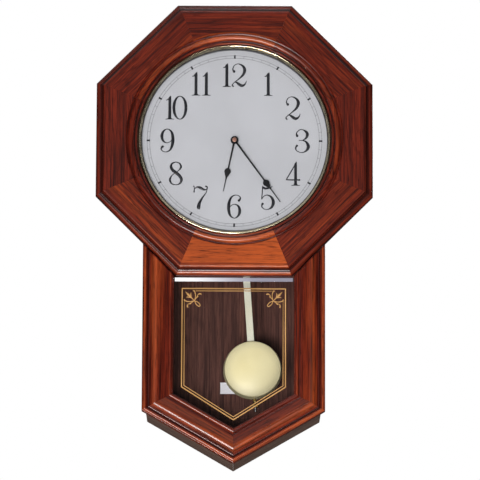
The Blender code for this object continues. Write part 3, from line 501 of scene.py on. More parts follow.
def satin(name, tint, roughness, round_part=None):
    """Satin lacquer over pale sheet brass, with very fine brushing; on a round part shade is painted in,
    darker towards the rim and towards the bottom."""
    made = Finish(name, Metallic=0.08, Coat_Roughness=0.3)
    made.shader.inputs["Coat Weight"].default_value = 0.3
    made.shader.inputs["Specular IOR Level"].default_value = 0.2
    place = made.place()
    lines = made.noise(made.scaled(place, (60.0, 900.0, 900.0)), 1.0, 2.0)
    cloud = made.noise(place, 22.0, 2.0)
    deep = tuple(part * shade for part, shade in zip(tint[:3], (0.94, 0.92, 0.84))) + (1.0,)
    shade = made.mixed(cloud.ranged(0.35, 0.7), tint, deep)
    if round_part:
        (left, right), (low, high) = span(round_part, "x"), span(round_part, "z")
        reach = (right - left) * MM / 2
        x, y, z = made.parts(place)
        over = (x - (left + right) * MM / 2) / reach
        up = (z - (low + high) * MM / 2) / reach
        rim = (over * over + up * up) ** 0.5
        # Painted shade on the round part: darker towards the rim, and towards the bottom and a little to
        # the right.
        painted_shade = rim.ranged(0.62, 1.0) * 0.5 + (over * 0.3 - up).ranged(-0.3, 1.1) * 0.55
        shade = made.mixed(painted_shade, shade, tuple(part * 0.55 for part in tint[:3]) + (1.0,))
    made.feeds("Base Color", shade)
    made.feeds("Roughness", lines.ranged(0.2, 0.8, roughness * 0.97, roughness * 1.04))
    return made.material


def moulded(name, tint, roughness=0.42, grainy=0.00006, speck=900.0):
    """Moulded plastic or rubber: a fine even texture, and faint flow marks."""
    made = Finish(name)
    place = made.place()
    texture = made.noise(place, speck, 2.0)
    flow = made.noise(place, 45.0, 3.0)
    pale = tuple(min(1.0, part * 1.35 + 0.01) for part in tint[:3]) + (1.0,)
    made.feeds("Base Color", made.mixed(flow.ranged(0.35, 0.75), tint, pale))
    made.feeds("Roughness", flow.ranged(0.3, 0.7, roughness - 0.05, roughness + 0.08))
    made.bumped(texture, grainy, 0.4)
    return made.material


def enamel(name, tint, roughness, speck=0.00002):
    """Smooth paint on sheet metal: slight orange peel, and faint unevenness in its shade."""
    made = Finish(name)
    made.shader.inputs["Coat Weight"].default_value = 0.15
    place = made.place()
    cloud = made.noise(place, 14.0, 3.0, 0.55)
    peel = made.noise(place, 420.0, 2.0)
    pale = tuple(min(1.0, part * 1.06 + 0.004) for part in tint[:3]) + (1.0,)
    made.feeds("Base Color", made.mixed(cloud.ranged(0.3, 0.7), tint, pale))
    made.feeds("Roughness", cloud.ranged(0.3, 0.7, roughness, roughness + 0.08))
    made.bumped(peel, speck, 0.3)
    return made.material


def clear_glass(name, shine=1.0):
    """Clear glass: a mirror that grows with Fresnel's law, over a see-through body."""
    made = Finish(name, Roughness=0.02)
    smear = made.noise(made.place(), 16.0, 3.0, 0.6)
    body = made.node("ShaderNodeBsdfTransparent", None, ((0.985, 0.98, 0.985, 1.0),))
    gloss = made.node("ShaderNodeBsdfAnisotropic", None, {"Color": (1, 1, 1, 1), "Roughness": 0.03})
    strength = made.node("ShaderNodeFresnel", None, (1.5,)) * smear.ranged(0.2, 0.8, 0.85 * shine, shine)
    both = made.node("ShaderNodeMixShader", None, (strength, body, gloss))
    made.tree.links.new(both.socket, made.output.inputs["Surface"])
    return made.material


def frosted_strip(name):
    """A strip with a painted reflection on the glass: milky white at its left end, fading to a clearer
    lavender grey to the right.
    """
    made = Finish(name, Roughness=0.25)
    x, y, z = made.parts(made.place())
    # Painted reflection: whitish at the left end, fading to lavender grey and clearer to the right.
    reflection_fade = x.ranged(-0.07, 0.03)
    made.feeds("Base Color", made.mixed(reflection_fade, (0.95, 0.95, 0.97, 1.0), (0.36, 0.35, 0.43, 1.0)))
    made.feeds("Alpha", x.ranged(-0.07, 0.07, 0.97, 0.55))
    return made.material


def paper(name):
    """Matt white paper with faint fibres."""
    made = Finish(name, Roughness=0.6)
    place = made.place()
    fibre = made.noise(made.scaled(place, (900.0, 900.0, 2600.0)), 1.0, 3.0)
    shade = made.mixed(fibre.ranged(0.3, 0.7), (0.92, 0.93, 0.97, 1.0), (0.97, 0.98, 1.0, 1.0))
    made.feeds("Base Color", shade)
    made.bumped(fibre, 0.00003, 0.3)
    return made.material


def wound_wire(name, tint):
    """Enamelled copper wire wound side by side: ridges of a sine along x."""
    made = Finish(name, Metallic=1.0, Roughness=0.3)
    x, y, z = made.parts(made.place())
    turns = ((x + z * 0.06) * 9000.0).math("SINE") * 0.5 + 0.5
    made.feeds("Base Color", made.mixed(turns.ranged(0.0, 1.0), (0.16, 0.045, 0.012, 1.0), tint))
    made.bumped(turns, 0.0001, 0.8)
    return made.material


def sleeve(name):
    """Shrunk sleeve of a dry cell: plain red, with a black band at its negative end."""
    made = Finish(name, Roughness=0.3)
    x, y, z = made.parts(made.place())
    end = x.ranged(-0.0205, -0.0201, 1.0, 0.0)
    made.feeds("Base Color", made.mixed(end, (0.42, 0.05, 0.03, 1.0), (0.012, 0.012, 0.014, 1.0)))
    made.feeds("Roughness", made.noise(made.place(), 60.0, 2.0).ranged(0.3, 0.7, 0.24, 0.36))
    return made.material


def laminate(name):
    """Green circuit laminate with paler copper tracks under its varnish."""
    made = Finish(name, Roughness=0.4)
    x, y, z = made.parts(made.place())
    lines = (z * 1800.0 + (x * 900.0).math("SINE")).math("SINE").ranged(0.55, 0.7)
    made.feeds("Base Color", made.mixed(lines, (0.012, 0.09, 0.035, 1.0), (0.05, 0.22, 0.08, 1.0)))
    made.bumped(lines, 0.00004, 0.5)
    return made.material


FINISHES = {}


def finish(name):
    """The material of this name, made the first time that it is asked for."""
    if name in FINISHES:
        return FINISHES[name]
    shades = bpy.context.scene.clock_finishes
    oak = (tuple(shades.oak_light), tuple(shades.oak_middle), tuple(shades.oak_dark))
    brass = tuple(shades.brass)
    pale = tuple(shades.pale_brass)
    if name == "stained_oak":
        made = wood(name, *oak, shades.gloss)
    elif name == "dark_veneer":
        bands = (tuple(shades.veneer_light), tuple(shades.veneer_dark), (0.05, 0.022, 0.018, 1))
        made = wood(name, *bands, 0.1, False, True, 1.2, 0.5)
    elif name == "thin_stain":
        bands = ((0.25, 0.165, 0.123, 1), (0.158, 0.104, 0.085, 1), (0.07, 0.042, 0.033, 1))
        made = wood(name, *bands, 0.05, roughness=0.55)
    elif name == "plain_board":
        bands = ((0.32, 0.2, 0.13, 1), (0.2, 0.12, 0.08, 1), (0.08, 0.04, 0.03, 1))
        made = wood(name, *bands, 0.0, False, True, 1.0, 0.6)
    elif name == "polished_brass":
        made = metal(name, (0.82, 0.72, 0.5, 1.0), 0.07, (20.0, 20.0, 20.0), 0.02)
    elif name == "lacquered_brass":
        made = metal(name, brass, 0.25)
    elif name == "pink_brass":
        made = metal(name, (0.62, 0.36, 0.27, 1.0), 0.3)
    elif name == "pale_brass":
        made = satin(name, pale, 0.5, "bob_shell")
    elif name == "rod_brass":
        made = satin(name, (0.86, 0.86, 0.7, 1.0), 0.5)
    elif name == "zinc_plated_steel":
        made = metal(name, (0.55, 0.56, 0.58, 1.0), 0.32)
    elif name == "black_enamel":
        made = enamel(name, (0.009, 0.009, 0.01, 1.0), 0.28)
    elif name == "dial_enamel":
        made = enamel(name, tuple(shades.dial), 0.36)
    elif name == "dial_ink":
        made = enamel(name, tuple(shades.ink), 0.4)
    elif name == "track_ink":
        made = enamel(name, (0.06, 0.065, 0.08, 1.0), 0.4)
    elif name == "gilt":
        made = metal(name, tuple(shades.gilt), 0.5, (90.0, 90.0, 90.0), 0.08)
        made.node_tree.nodes["Principled BSDF"].inputs["Metallic"].default_value = 0.25
    elif name == "window_glass":
        made = clear_glass(name)
    elif name == "dial_glass":
        made = clear_glass(name, 0.7)
    elif name == "frosted_strip":
        made = frosted_strip(name)
    elif name == "label_paper":
        made = paper(name)
    elif name == "black_plastic":
        made = moulded(name, (0.016, 0.016, 0.017, 1.0))
    elif name == "black_rubber":
        made = moulded(name, (0.012, 0.012, 0.012, 1.0), 0.75, 0.0001)
    elif name == "white_nylon":
        made = moulded(name, (0.72, 0.71, 0.66, 1.0), 0.4, 0.00003)
    elif name == "enamelled_copper":
        made = wound_wire(name, (0.68, 0.27, 0.1, 1.0))
    elif name == "battery_sleeve":
        made = sleeve(name)
    elif name == "green_laminate":
        made = laminate(name)
    elif name == "floor":
        made = moulded(name, (0.82, 0.82, 0.82, 1.0), 0.7, 0.00002, 60.0)
    else:
        raise ValueError(f"no finish is named {name}")
    FINISHES[name] = made
    return made


def refinished(name, *nodes):
    """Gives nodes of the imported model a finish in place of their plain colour."""
    for node in nodes:
        slots = NODES[node].material_slots
        for slot in slots:
            slot.material = finish(name)


# The octagon


def rail_section(half):
    """Half the outline of a rail, as (distance from the middle, depth): the straight moulding at
    the octagon's edge, from the back of the board to the flat field."""
    face = BOARD_FACE
    return joined(
        (half, BOARD_REAR),
        (half, BOARD_REAR + 4.0),
        arc(half - 4.4, face - 11.6, 4.4, 0, 90, 8),
        (half - 5.0, face - 7.2),
        arc(half - 5.0, face - 3.0, 3.6, 270, 180, 8),
        arc(half - 10.2, face - 1.6, 1.6, 0, 90, 6),
        (half - 13.0, face),
        (half - 14.6, face),
    )


def ring_section(bead, inner):
    """The round moulding about the dial, as (radius, depth): cove, bead, groove and fillet, then
    the wall down to the seat of the dial and the rebate behind it."""
    face = BOARD_FACE
    middle = bead - 3.7
    return joined(
        (bead + 3.5, face),
        (bead + 2.6, face),
        arc(bead, face - 0.2, 2.6, -8, -90, 7),
        arc(middle, face - 3.7, 3.7, 12, 176, 13),
        (middle - 3.7, face - 5.4),
        (middle - 5.0, face - 5.4),
        (middle - 5.0, face - 4.3),
        arc(middle - 5.4, face - 4.3, 0.4, 0, 90, 4),
        arc(inner + 0.6, face - 4.5, 0.6, 90, 180, 4),
        (inner, BOARD_REAR + 3.3),
        (inner + 6.0, BOARD_REAR + 3.3),
        (inner + 6.0, BOARD_REAR),
    )


def stain(reach, *painted_light_and_shade):
    """Painted light and shade across a section, each mark (its place, half width, strength): the sum of a
    bell curve for every mark; a positive strength is painted shade in a hollow, a negative one a painted
    highlight."""
    return sum(strength * np.exp(-(((reach - place) / half) ** 2)) for place, half, strength in painted_light_and_shade)


class CLOCK_OT_octagon(bpy.types.Operator):
    """Makes the eight mitred rails of the octagon with their mouldings"""

    bl_idname = "clock.octagon"
    bl_label = "Octagon rails"

    def execute(self, context):
        sizes = context.scene.clock_sizes
        half = span("octagon_rail_3", "x")[1]
        edge = rail_section(half)
        ring = ring_section(sizes.ring_radius / MM, sizes.bezel_radius / MM + 1.0)
        reach = np.concatenate((edge[:, 0], ring[:, 0]))
        depth = np.concatenate((edge[:, 1], ring[:, 1]))
        straight = np.concatenate((np.ones(len(edge), bool), np.zeros(len(ring), bool)))
        tones = np.array((0.02, 0.1, 0.0, 0.2, 0.66, 0.2, -0.12, 0.02))
        ring_tones = np.array((0.5, 0.16, 0.1, 0.12, 0.6, 0.06, -0.26, 0.22))
        bead = sizes.ring_radius / MM
        # Painted shade, taken off each rail's tone: in the cove, the quirk by the field and along the outer
        # edge of the straight moulding, and in the groove, the wall down to the dial and the cove of the
        # ring.
        painted_light_and_shade = np.where(
            straight,
            stain(reach, (half - 6.6, 1.6, 1.9), (half - 12.2, 0.7, 1.6), (half, 1.0, 1.0)),
            stain(reach, (bead - 8.0, 1.0, 1.6), (bead - 11.6, 0.7, 1.3), (bead + 0.8, 1.3, 0.7)),
        )
        for index in range(8):
            own = np.where(straight, tones[index], ring_tones[index])
            own[len(edge)] = tones[index]
            facing = math.radians(90 - 45 * index)
            grid = self.rail(reach, depth, straight, facing)
            piece(
                f"moulded_rail_{index + 1}",
                [grid],
                finish("stained_oak"),
                "case",
                [f"octagon_rail_{index + 1}"],
                caps=True,
                grain=grained(-45 * index, index + 1),
                tone=np.tile(own - painted_light_and_shade, (RAIL_STEPS, 1)),
            )
        return {"FINISHED"}

    def rail(self, reach, depth, straight, facing):
        """One rail between its mitres: at the angle f from its middle, a straight line at the
        distance u lies at the radius u / cos f, and a point of the ring keeps its radius."""
        share_along = np.linspace(-1, 1, RAIL_STEPS)[:, None]
        corner = math.radians(22.5)
        radius_end = np.where(straight, reach / math.cos(corner), reach)
        widest = corner - np.arcsin(SHY / radius_end)
        angle = share_along * widest[None, :]
        radius = np.where(straight[None, :], reach[None, :] / np.cos(angle), reach[None, :])
        x = radius * np.cos(facing + angle)
        z = radius * np.sin(facing + angle)
        return placed(x, depth[None, :], z)


# The case


class CLOCK_OT_case(bpy.types.Operator):
    """Makes the boards of the case and finishes its back, its backing board and its hanger"""

    bl_idname = "clock.case"
    bl_label = "Case"

    def execute(self, context):
        half = span("case_side_right", "x")[1]
        inner = span("case_side_right", "x")[0]
        top = span("case_side_right", "z")[1]
        tip = span("case_base_right", "z")[0] - 0.1
        slope = math.tan(POINT)
        corner = tip + half * slope
        wall = half - inner
        rise = wall / math.cos(POINT)
        turn = corner + wall * slope
        for word, side in (("left", -1), ("right", 1)):
            upright = [(half, corner + 2 * SHY), (half, top), (inner, top), (inner, turn + 2 * SHY)]
            sloped = [
                (half, corner),
                (inner, turn),
                (SHY, tip + rise + SHY * slope),
                (SHY, tip + SHY * slope),
            ]
            for name, outline, angle in (("side", upright, 90), ("base", sloped, 30 * side)):
                points = [(side * x, z) for x, z in outline]
                made = piece(
                    f"{name}_board_{word}",
                    [board(points, 0.0, CASE_DEPTH)],
                    finish("thin_stain"),
                    "case",
                    [f"case_{name}_{word}"],
                    caps=True,
                    grain=grained(angle, 11 + side),
                    tone=0.2,
                )
                if name == "side":
                    eased(made, 0.3)
        low, high = span("case_top", "x")
        under, over = span("case_top", "z")
        outline = [(low, under), (high, under), (high, over), (low, over)]
        made = piece("top_board", [board(outline, 0.0, CASE_DEPTH)], finish("thin_stain"), "case",
                     ["case_top"], caps=True, grain=grained(0, 14), tone=0.2)
        eased(made, 0.5)
        refinished("dark_veneer", "back_panel")
        refinished("plain_board", "backing_board")
        refinished("zinc_plated_steel", "hanger_plate", "hanger_screw_left", "hanger_screw_right")
        refinished("label_paper", "paper_label")
        return {"FINISHED"}


# The door


def door_section(edge, sight):
    """Section of a door member as (distance from the middle, depth), from the outer edge over its
    bead, cove and broad ogee to the inner bead and the rebate for the glass."""
    rear = DOOR_REAR
    return joined(
        (edge - 1.0, rear),
        (edge, rear + 1.0),
        arc(edge - 3.2, DOOR_FACE - 2.6, 3.2, 0, 30, 3),
        arc(edge - 3.2, DOOR_FACE - 2.6, 2.6, 45, 180, 9),
        (edge - 5.8, rear + 10.0),
        arc(edge - 7.8, rear + 11.2, 2.0, 330, 230, 7),
        arc(edge - 16.0, rear + 4.4, 8.0, 50, 114, 13),
        (edge - 21.6, rear + 10.3),
        (edge - 24.4, rear + 8.4),
        (edge - 27.2, rear + 6.8),
        (edge - 29.2, rear + 6.0),
        arc(sight + 3.4, rear + 4.3, 2.9, 30, 180, 10),
        (sight, rear + 4.0),
        (sight, rear + 3.0),
        (sight + 4.4, rear + 3.0),
        (sight + 4.4, rear),
    )


class CLOCK_OT_door(bpy.types.Operator):
    """Makes the four moulded members of the door, a strip along the top edge of its glass with a painted
    reflection, and its gilt printing
    """

    bl_idname = "clock.door"
    bl_label = "Door"

    def execute(self, context):
        edge = span("door_stile_right", "x")[1]
        sight = span("door_stile_right", "x")[0]
        slope = math.tan(POINT)
        section = door_section(edge, sight)
        out, depth = section[:, 0], section[:, 1]
        # Painted light and shade across the door section, taken off its tone: painted shade in the cove,
        # beside the inner bead and at the sight edge, and painted highlights on the ogee's crest and the
        # outer bead.
        painted_light_and_shade = stain(out, (edge - 7.0, 1.5, 1.25), (edge - 14.8, 3.4, -0.22), (sight + 6.9, 0.8, 1.1),
                        (sight + 1.0, 0.9, 0.7), (edge - 2.6, 1.5, -0.3))
        shares = np.concatenate(((0.0, 0.012), np.linspace(0.02, 1.0, 24)))[:, None, None]
        # Painted shade at the upper end of each stile, in the gap under the octagon: its end row is made
        # much darker.
        painted_gap_shade = (shares[:, :, 0] < 0.01) * 1.2
        rows = 25
        far = out - edge
        corner = DOOR_TIP + edge * slope - far * slope
        point = DOOR_TIP - far / math.cos(POINT)
        cut = (STILE_CUT + SHY) / math.cos(math.radians(45))
        for word, side in (("left", -1), ("right", 1)):
            upper = placed(side * out, depth, out - cut)
            lower = placed(side * out, depth, corner + 2 * SHY * 0.58)
            piece(f"moulded_stile_{word}", [upper + (lower - upper) * shares], finish("stained_oak"),
                  "door", [f"door_stile_{word}"], caps=True, grain=grained(90, 21 + side),
                  tone=0.12 - np.tile(painted_light_and_shade, (len(shares), 1)) - painted_gap_shade)
            start = placed(side * (out - 0.01), depth, corner - 2 * SHY * 0.58)
            end = placed(side * SHY, depth, point + SHY * slope)
            piece(f"moulded_base_rail_{word}", [between(start, end, rows)], finish("stained_oak"), "door",
                  [f"door_base_rail_{word}"], caps=True,
                  grain=grained(30 * side, 25 + side), tone=0.16 - np.tile(painted_light_and_shade, (rows, 1)))
        self.printing(context.scene.clock_sizes)
        # A thin strip along the top edge of the glass that carries a painted reflection.
        top = span("door_glass", "z")[1]
        reach, foot = 70.0, top - 4.6
        strip = [(-reach, foot), (reach, foot), (reach, top), (-reach, top)]
        made = piece("glass_reflection_strip", [board(strip, GLASS_FACE + 0.05, GLASS_FACE + 0.6)],
                     finish("frosted_strip"), "door", caps=True)
        eased(made, 0.15)
        refinished("window_glass", "door_glass")
        refinished("lacquered_brass", "hinge_case_leaf_upper", "hinge_case_leaf_lower",
                   "hinge_door_leaf_upper", "hinge_door_leaf_lower")
        refinished("black_plastic", "catch_magnet")
        refinished("zinc_plated_steel", "catch_plate")
        return {"FINISHED"}

    def printing(self, sizes):
        """Gilt border of two lines, broken at the top corners by a leaf spray on the diagonal."""
        half = sizes.border_half / MM
        top, corner, tip = -179.5, -297.5, -336.5
        depth = GLASS_FACE + 0.02
        outer = [(-half, top), (-half, corner), (0.0, tip), (half, corner), (half, top)]
        lines = [band(outer, sizes.border_width / MM / 2, depth, closed=True)]
        step = 2.85
        near = half - step
        low = corner + step * 0.56
        lines.append(band([(-near, top - 14.0), (-near, low), (0.0, tip + step * 1.19), (near, low),
                           (near, top - 14.0)], 0.5, depth))
        lines.append(band([(-half + 16.0, top - step), (half - 16.0, top - step)], 0.5, depth))
        made = piece("gilt_lines", lines, finish("gilt"), "door", around=False)
        thickened(made, 0.03)
        strokes = [
            ((13.0, 3.4, 0.5), (13.9, 2.5, 0.75), (15.2, 4.6, 0.6), (15.9, 8.2, 0.5), (15.5, 12.0, 0.5),
             (14.4, 15.4, 0.45)),
            ((10.6, 4.9, 0.2), (10.3, 7.6, 0.75), (11.0, 10.6, 0.6), (13.0, 13.4, 0.3)),
            ((15.2, 14.4, 0.3), (16.6, 11.6, 0.4), (18.2, 10.0, 0.8), (19.2, 8.8, 0.3)),
            ((17.0, 12.0, 0.25), (18.4, 8.0, 0.35), (20.4, 6.4, 0.75), (22.2, 6.6, 0.8), (22.8, 7.4, 0.3)),
            ((15.0, 15.0, 0.5), (18.6, 16.4, 0.5), (21.3, 19.6, 0.55), (21.2, 21.2, 0.6)),
        ]
        bud = ((3.8, 0.15), (6.0, 0.8), (7.4, 1.35), (9.6, 0.7), (14.5, 0.35))
        single = [tuple((x, x, w) for x, w in bud)]
        both = strokes + [tuple((z, x, w) for x, z, w in stroke) for stroke in strokes] + single
        sprays = []
        for side in (-1, 1):
            for stroke in both:
                knots = [(side * (half - x), top - z, w) for x, z, w in stroke]
                sprays.append(ribbon(knots, depth + 0.01 * len(sprays) / 30, 20))
        made = piece("gilt_sprays", sprays, finish("gilt"), "door", around=False)
        thickened(made, 0.03)


# The dial and its printing


def digit_strokes(digit):
    """Strokes of a high-contrast old numeral, one high and drawn from its lower left corner:
    each is a run of (x, z, half width), and spots are (x, z, radius)."""
    stem = ((0, 0.0, 0.155), (0, 0.022, 0.15), (0, 0.036, 0.085), (0, 0.07, 0.056), (0, 0.14, 0.052),
            (0, 0.5, 0.051), (0, 0.86, 0.05), (0, 0.93, 0.046))
    six = (
        ((0.5, 0.77, 0.04), (0.545, 0.87, 0.02), (0.47, 0.96, 0.014), (0.32, 0.985, 0.014),
         (0.16, 0.88, 0.032), (0.07, 0.62, 0.052), (0.065, 0.35, 0.052), (0.13, 0.12, 0.034),
         (0.3, 0.014, 0.014), (0.46, 0.12, 0.036), (0.52, 0.32, 0.052), (0.46, 0.52, 0.034),
         (0.31, 0.6, 0.014), (0.16, 0.54, 0.012), (0.09, 0.43, 0.01)),
    )
    if digit == "0":
        turn = np.linspace(0, 2 * math.pi, 25)
        swell = 0.013 + 0.039 * np.abs(np.cos(turn)) ** 1.4
        ring = np.column_stack((0.3 + 0.25 * np.cos(turn), 0.5 + 0.487 * np.sin(turn), swell))
        return [ring], []
    if digit == "1":
        shifted = [(x + 0.165, z, w) for x, z, w in stem]
        flag = (
            (0.01, 0.82, 0.012), (0.07, 0.835, 0.018), (0.13, 0.88, 0.036), (0.175, 0.94, 0.036),
            (0.205, 1.0, 0.01),
        )
        return [shifted, flag], []
    if digit == "2":
        body = (
            (0.1, 0.665, 0.03), (0.05, 0.76, 0.018), (0.12, 0.92, 0.013), (0.28, 0.985, 0.014),
            (0.46, 0.9, 0.036), (0.545, 0.73, 0.055), (0.48, 0.52, 0.042), (0.3, 0.34, 0.02),
            (0.13, 0.2, 0.012), (0.035, 0.1, 0.016), (0.045, 0.04, 0.022),
        )
        wave = (
            (0.1, 0.2, 0.01), (0.2, 0.2, 0.026), (0.3, 0.125, 0.048), (0.42, 0.055, 0.05),
            (0.53, 0.09, 0.032), (0.6, 0.19, 0.014), (0.62, 0.27, 0.008),
        )
        return [body, wave], [(0.105, 0.66, 0.052), (0.07, 0.03, 0.03)]
    if digit == "3":
        upper = (
            (0.08, 0.74, 0.03), (0.08, 0.85, 0.016), (0.2, 0.97, 0.013), (0.34, 0.975, 0.016),
            (0.48, 0.88, 0.045), (0.52, 0.76, 0.052), (0.46, 0.62, 0.032), (0.32, 0.53, 0.012),
            (0.17, 0.53, 0.014),
        )
        lower = (
            (0.3, 0.53, 0.01), (0.46, 0.47, 0.03), (0.56, 0.3, 0.056), (0.52, 0.14, 0.044),
            (0.38, 0.03, 0.018), (0.22, 0.02, 0.013), (0.07, 0.1, 0.016), (0.04, 0.22, 0.024),
            (0.1, 0.31, 0.03),
        )
        return [upper, lower], [(0.1, 0.72, 0.05), (0.09, 0.3, 0.042)]
    if digit == "4":
        shifted = [(x * 1.0 + 0.41, z, w * (0.95 if z > 0.1 else 1.0)) for x, z, w in stem]
        slant = ((0.45, 1.0, 0.012), (0.3, 0.73, 0.018), (0.15, 0.47, 0.018), (0.02, 0.25, 0.014))
        bar = (
            (0.02, 0.25, 0.016), (0.2, 0.245, 0.022), (0.45, 0.245, 0.022), (0.56, 0.245, 0.03),
            (0.6, 0.25, 0.034),
        )
        peak = ((0.41, 0.9, 0.048), (0.43, 0.96, 0.028), (0.45, 1.01, 0.008))
        return [shifted, slant, bar, peak], []
    if digit == "5":
        flag = (
            (0.06, 1.0, 0.01), (0.09, 0.94, 0.034), (0.18, 0.9, 0.038), (0.3, 0.91, 0.026),
            (0.42, 0.955, 0.012), (0.48, 1.0, 0.007),
        )
        side = ((0.065, 0.98, 0.014), (0.05, 0.7, 0.016), (0.025, 0.44, 0.013))
        bowl = (
            (0.03, 0.44, 0.01), (0.12, 0.57, 0.014), (0.26, 0.62, 0.016), (0.43, 0.53, 0.038),
            (0.51, 0.33, 0.056), (0.45, 0.12, 0.042), (0.3, 0.02, 0.016), (0.16, 0.02, 0.014),
            (0.04, 0.12, 0.02), (0.05, 0.25, 0.03),
        )
        return [flag, side, bowl], [(0.07, 0.25, 0.045)]
    if digit == "7":
        serif = ((0.0, 1.0, 0.026), (0.035, 0.95, 0.012), (0.035, 0.84, 0.013), (0.03, 0.72, 0.026))
        wave = (
            (0.04, 0.87, 0.012), (0.16, 0.945, 0.026), (0.28, 0.92, 0.046), (0.42, 0.845, 0.036),
            (0.53, 0.84, 0.018), (0.58, 0.92, 0.02), (0.54, 0.975, 0.024), (0.49, 0.98, 0.026),
        )
        leg = (
            (0.58, 0.86, 0.01), (0.52, 0.7, 0.015), (0.38, 0.5, 0.026), (0.27, 0.3, 0.046),
            (0.225, 0.14, 0.062), (0.235, 0.05, 0.05), (0.25, 0.0, 0.01),
        )
        return [serif, wave, leg], []
    if digit == "8":
        eight = (
            (0.28, 0.985, 0.014), (0.13, 0.92, 0.028), (0.08, 0.78, 0.044), (0.15, 0.64, 0.052),
            (0.3, 0.52, 0.056), (0.45, 0.38, 0.054), (0.52, 0.22, 0.046), (0.44, 0.07, 0.026),
            (0.28, 0.015, 0.014), (0.11, 0.07, 0.026), (0.04, 0.22, 0.036), (0.1, 0.38, 0.02),
            (0.22, 0.5, 0.012), (0.38, 0.61, 0.014), (0.49, 0.76, 0.034), (0.44, 0.92, 0.024),
            (0.28, 0.985, 0.014),
        )
        return [eight], []
    if digit == "9":
        return [[(0.585 - x, 1 - z, w) for x, z, w in stroke] for stroke in six], [(0.105, 0.24, 0.046)]
    return list(six), [(0.48, 0.76, 0.046)]


class CLOCK_OT_dial(bpy.types.Operator):
    """Makes the numerals, the minute track and the five-minute marks, and finishes the dial"""

    bl_idname = "clock.dial"
    bl_label = "Dial"

    def execute(self, context):
        sizes = context.scene.clock_sizes
        height = sizes.numeral_height / MM
        circle = sizes.numeral_circle / MM
        advance = {"10": 0.285, "11": 0.43, "12": 0.36}
        grids = []
        for hour in range(1, 13):
            word = str(hour)
            facing = math.radians(90 - 30 * hour)
            parts = [(digit, advance.get(word, 0.0) * place) for place, digit in enumerate(word)]
            width = advance.get(word, 0.0) + {"0": 0.6, "1": 0.33, "2": 0.63, "7": 0.6}.get(word[-1], 0.58)
            left = circle * math.cos(facing) - width * height / 2
            low = circle * math.sin(facing) - height / 2
            for digit, shift in parts:
                strokes, spots = digit_strokes(digit)
                start = (left + shift * height, low)
                for number, stroke in enumerate(strokes):
                    lift = DIAL_FACE + 0.01 + 0.004 * number
                    bolder = [(x, z, w * 1.14 + 0.003) for x, z, w in stroke]
                    grids.append(ribbon(bolder, lift, 72, height, start))
                for x, z, radius in spots:
                    centre = (start[0] + x * height, start[1] + z * height)
                    grids.append(spot(*centre, radius * height * 1.1, DIAL_FACE + 0.03))
        made = piece("dial_numerals", grids, finish("dial_ink"), "case", around=False)
        thickened(made, 0.03)
        inner = sizes.track_inner / MM
        outer = sizes.track_outer / MM
        lines = []
        turn = np.linspace(0, 2 * math.pi, 241)[:, None]
        for radius, width in ((inner, 0.34), (outer, 0.34)):
            ring = radius + np.array((-width / 2, width / 2))[None, :]
            lines.append(placed(ring * np.cos(turn), DIAL_FACE + 0.01, ring * np.sin(turn)))
        for minute in range(60):
            if minute % 5:
                lines.append(self.mark(minute, inner, outer, 0.3))
        made = piece("minute_track", lines, finish("track_ink"), "case", around=False)
        thickened(made, 0.03)
        marks = [self.mark(minute, inner - 0.5, outer + 0.6, 2.0) for minute in range(0, 60, 5)]
        made = piece("five_minute_marks", marks, finish("dial_ink"), "case", around=False)
        thickened(made, 0.04)
        refinished("dial_enamel", "dial_plate")
        return {"FINISHED"}

    def mark(self, minute, inner, outer, width):
        """A straight mark between two radii at a minute's angle."""
        angle = math.radians(90 - 6 * minute)
        reach = np.array((inner, outer))[:, None]
        side = np.array((-width / 2, width / 2))[None, :]
        x = reach * math.cos(angle) - side * math.sin(angle)
        z = reach * math.sin(angle) + side * math.cos(angle)
        return placed(x, DIAL_FACE + 0.02, z)


class CLOCK_OT_bezel(bpy.types.Operator):
    """Makes the polished bezel and a black inner lip that is painted shadow in the gap by the dial, and
    finishes the dial glass
    """

    bl_idname = "clock.bezel"
    bl_label = "Bezel"

    def execute(self, context):
        outer = context.scene.clock_sizes.bezel_radius / MM
        low, high = span("bezel_ring", "depth")
        # A black wall just inside the bezel, painted shadow: it stands for the dark gap between the bezel
        # and the dial.
        shadow_wall = joined(
            (outer - 4.5, low),
            (outer - 4.5, low + 5.2),
            (outer - 3.6, low + 5.8),
            (outer - 3.6, low),
        )
        profile = joined(
            (outer - 3.6, low),
            (outer - 3.6, low + 5.8),
            (outer - 1.5, low + 7.4),
            (outer - 1.5, high - 0.8),
            arc(outer - 0.75, high - 0.75, 0.75, 180, 0, 9),
            (outer, low),
        )
        piece("polished_bezel", [turned(profile, steps=256)], finish("polished_brass"), "case",
              ["bezel_ring"], along=True, sharp=40)
        piece("painted_shadow_lip", [turned(shadow_wall, steps=256)], finish("black_enamel"), "case",
              along=True, sharp=40)
        refinished("dial_glass", "dial_glass")
        return {"FINISHED"}


# Hands and movement


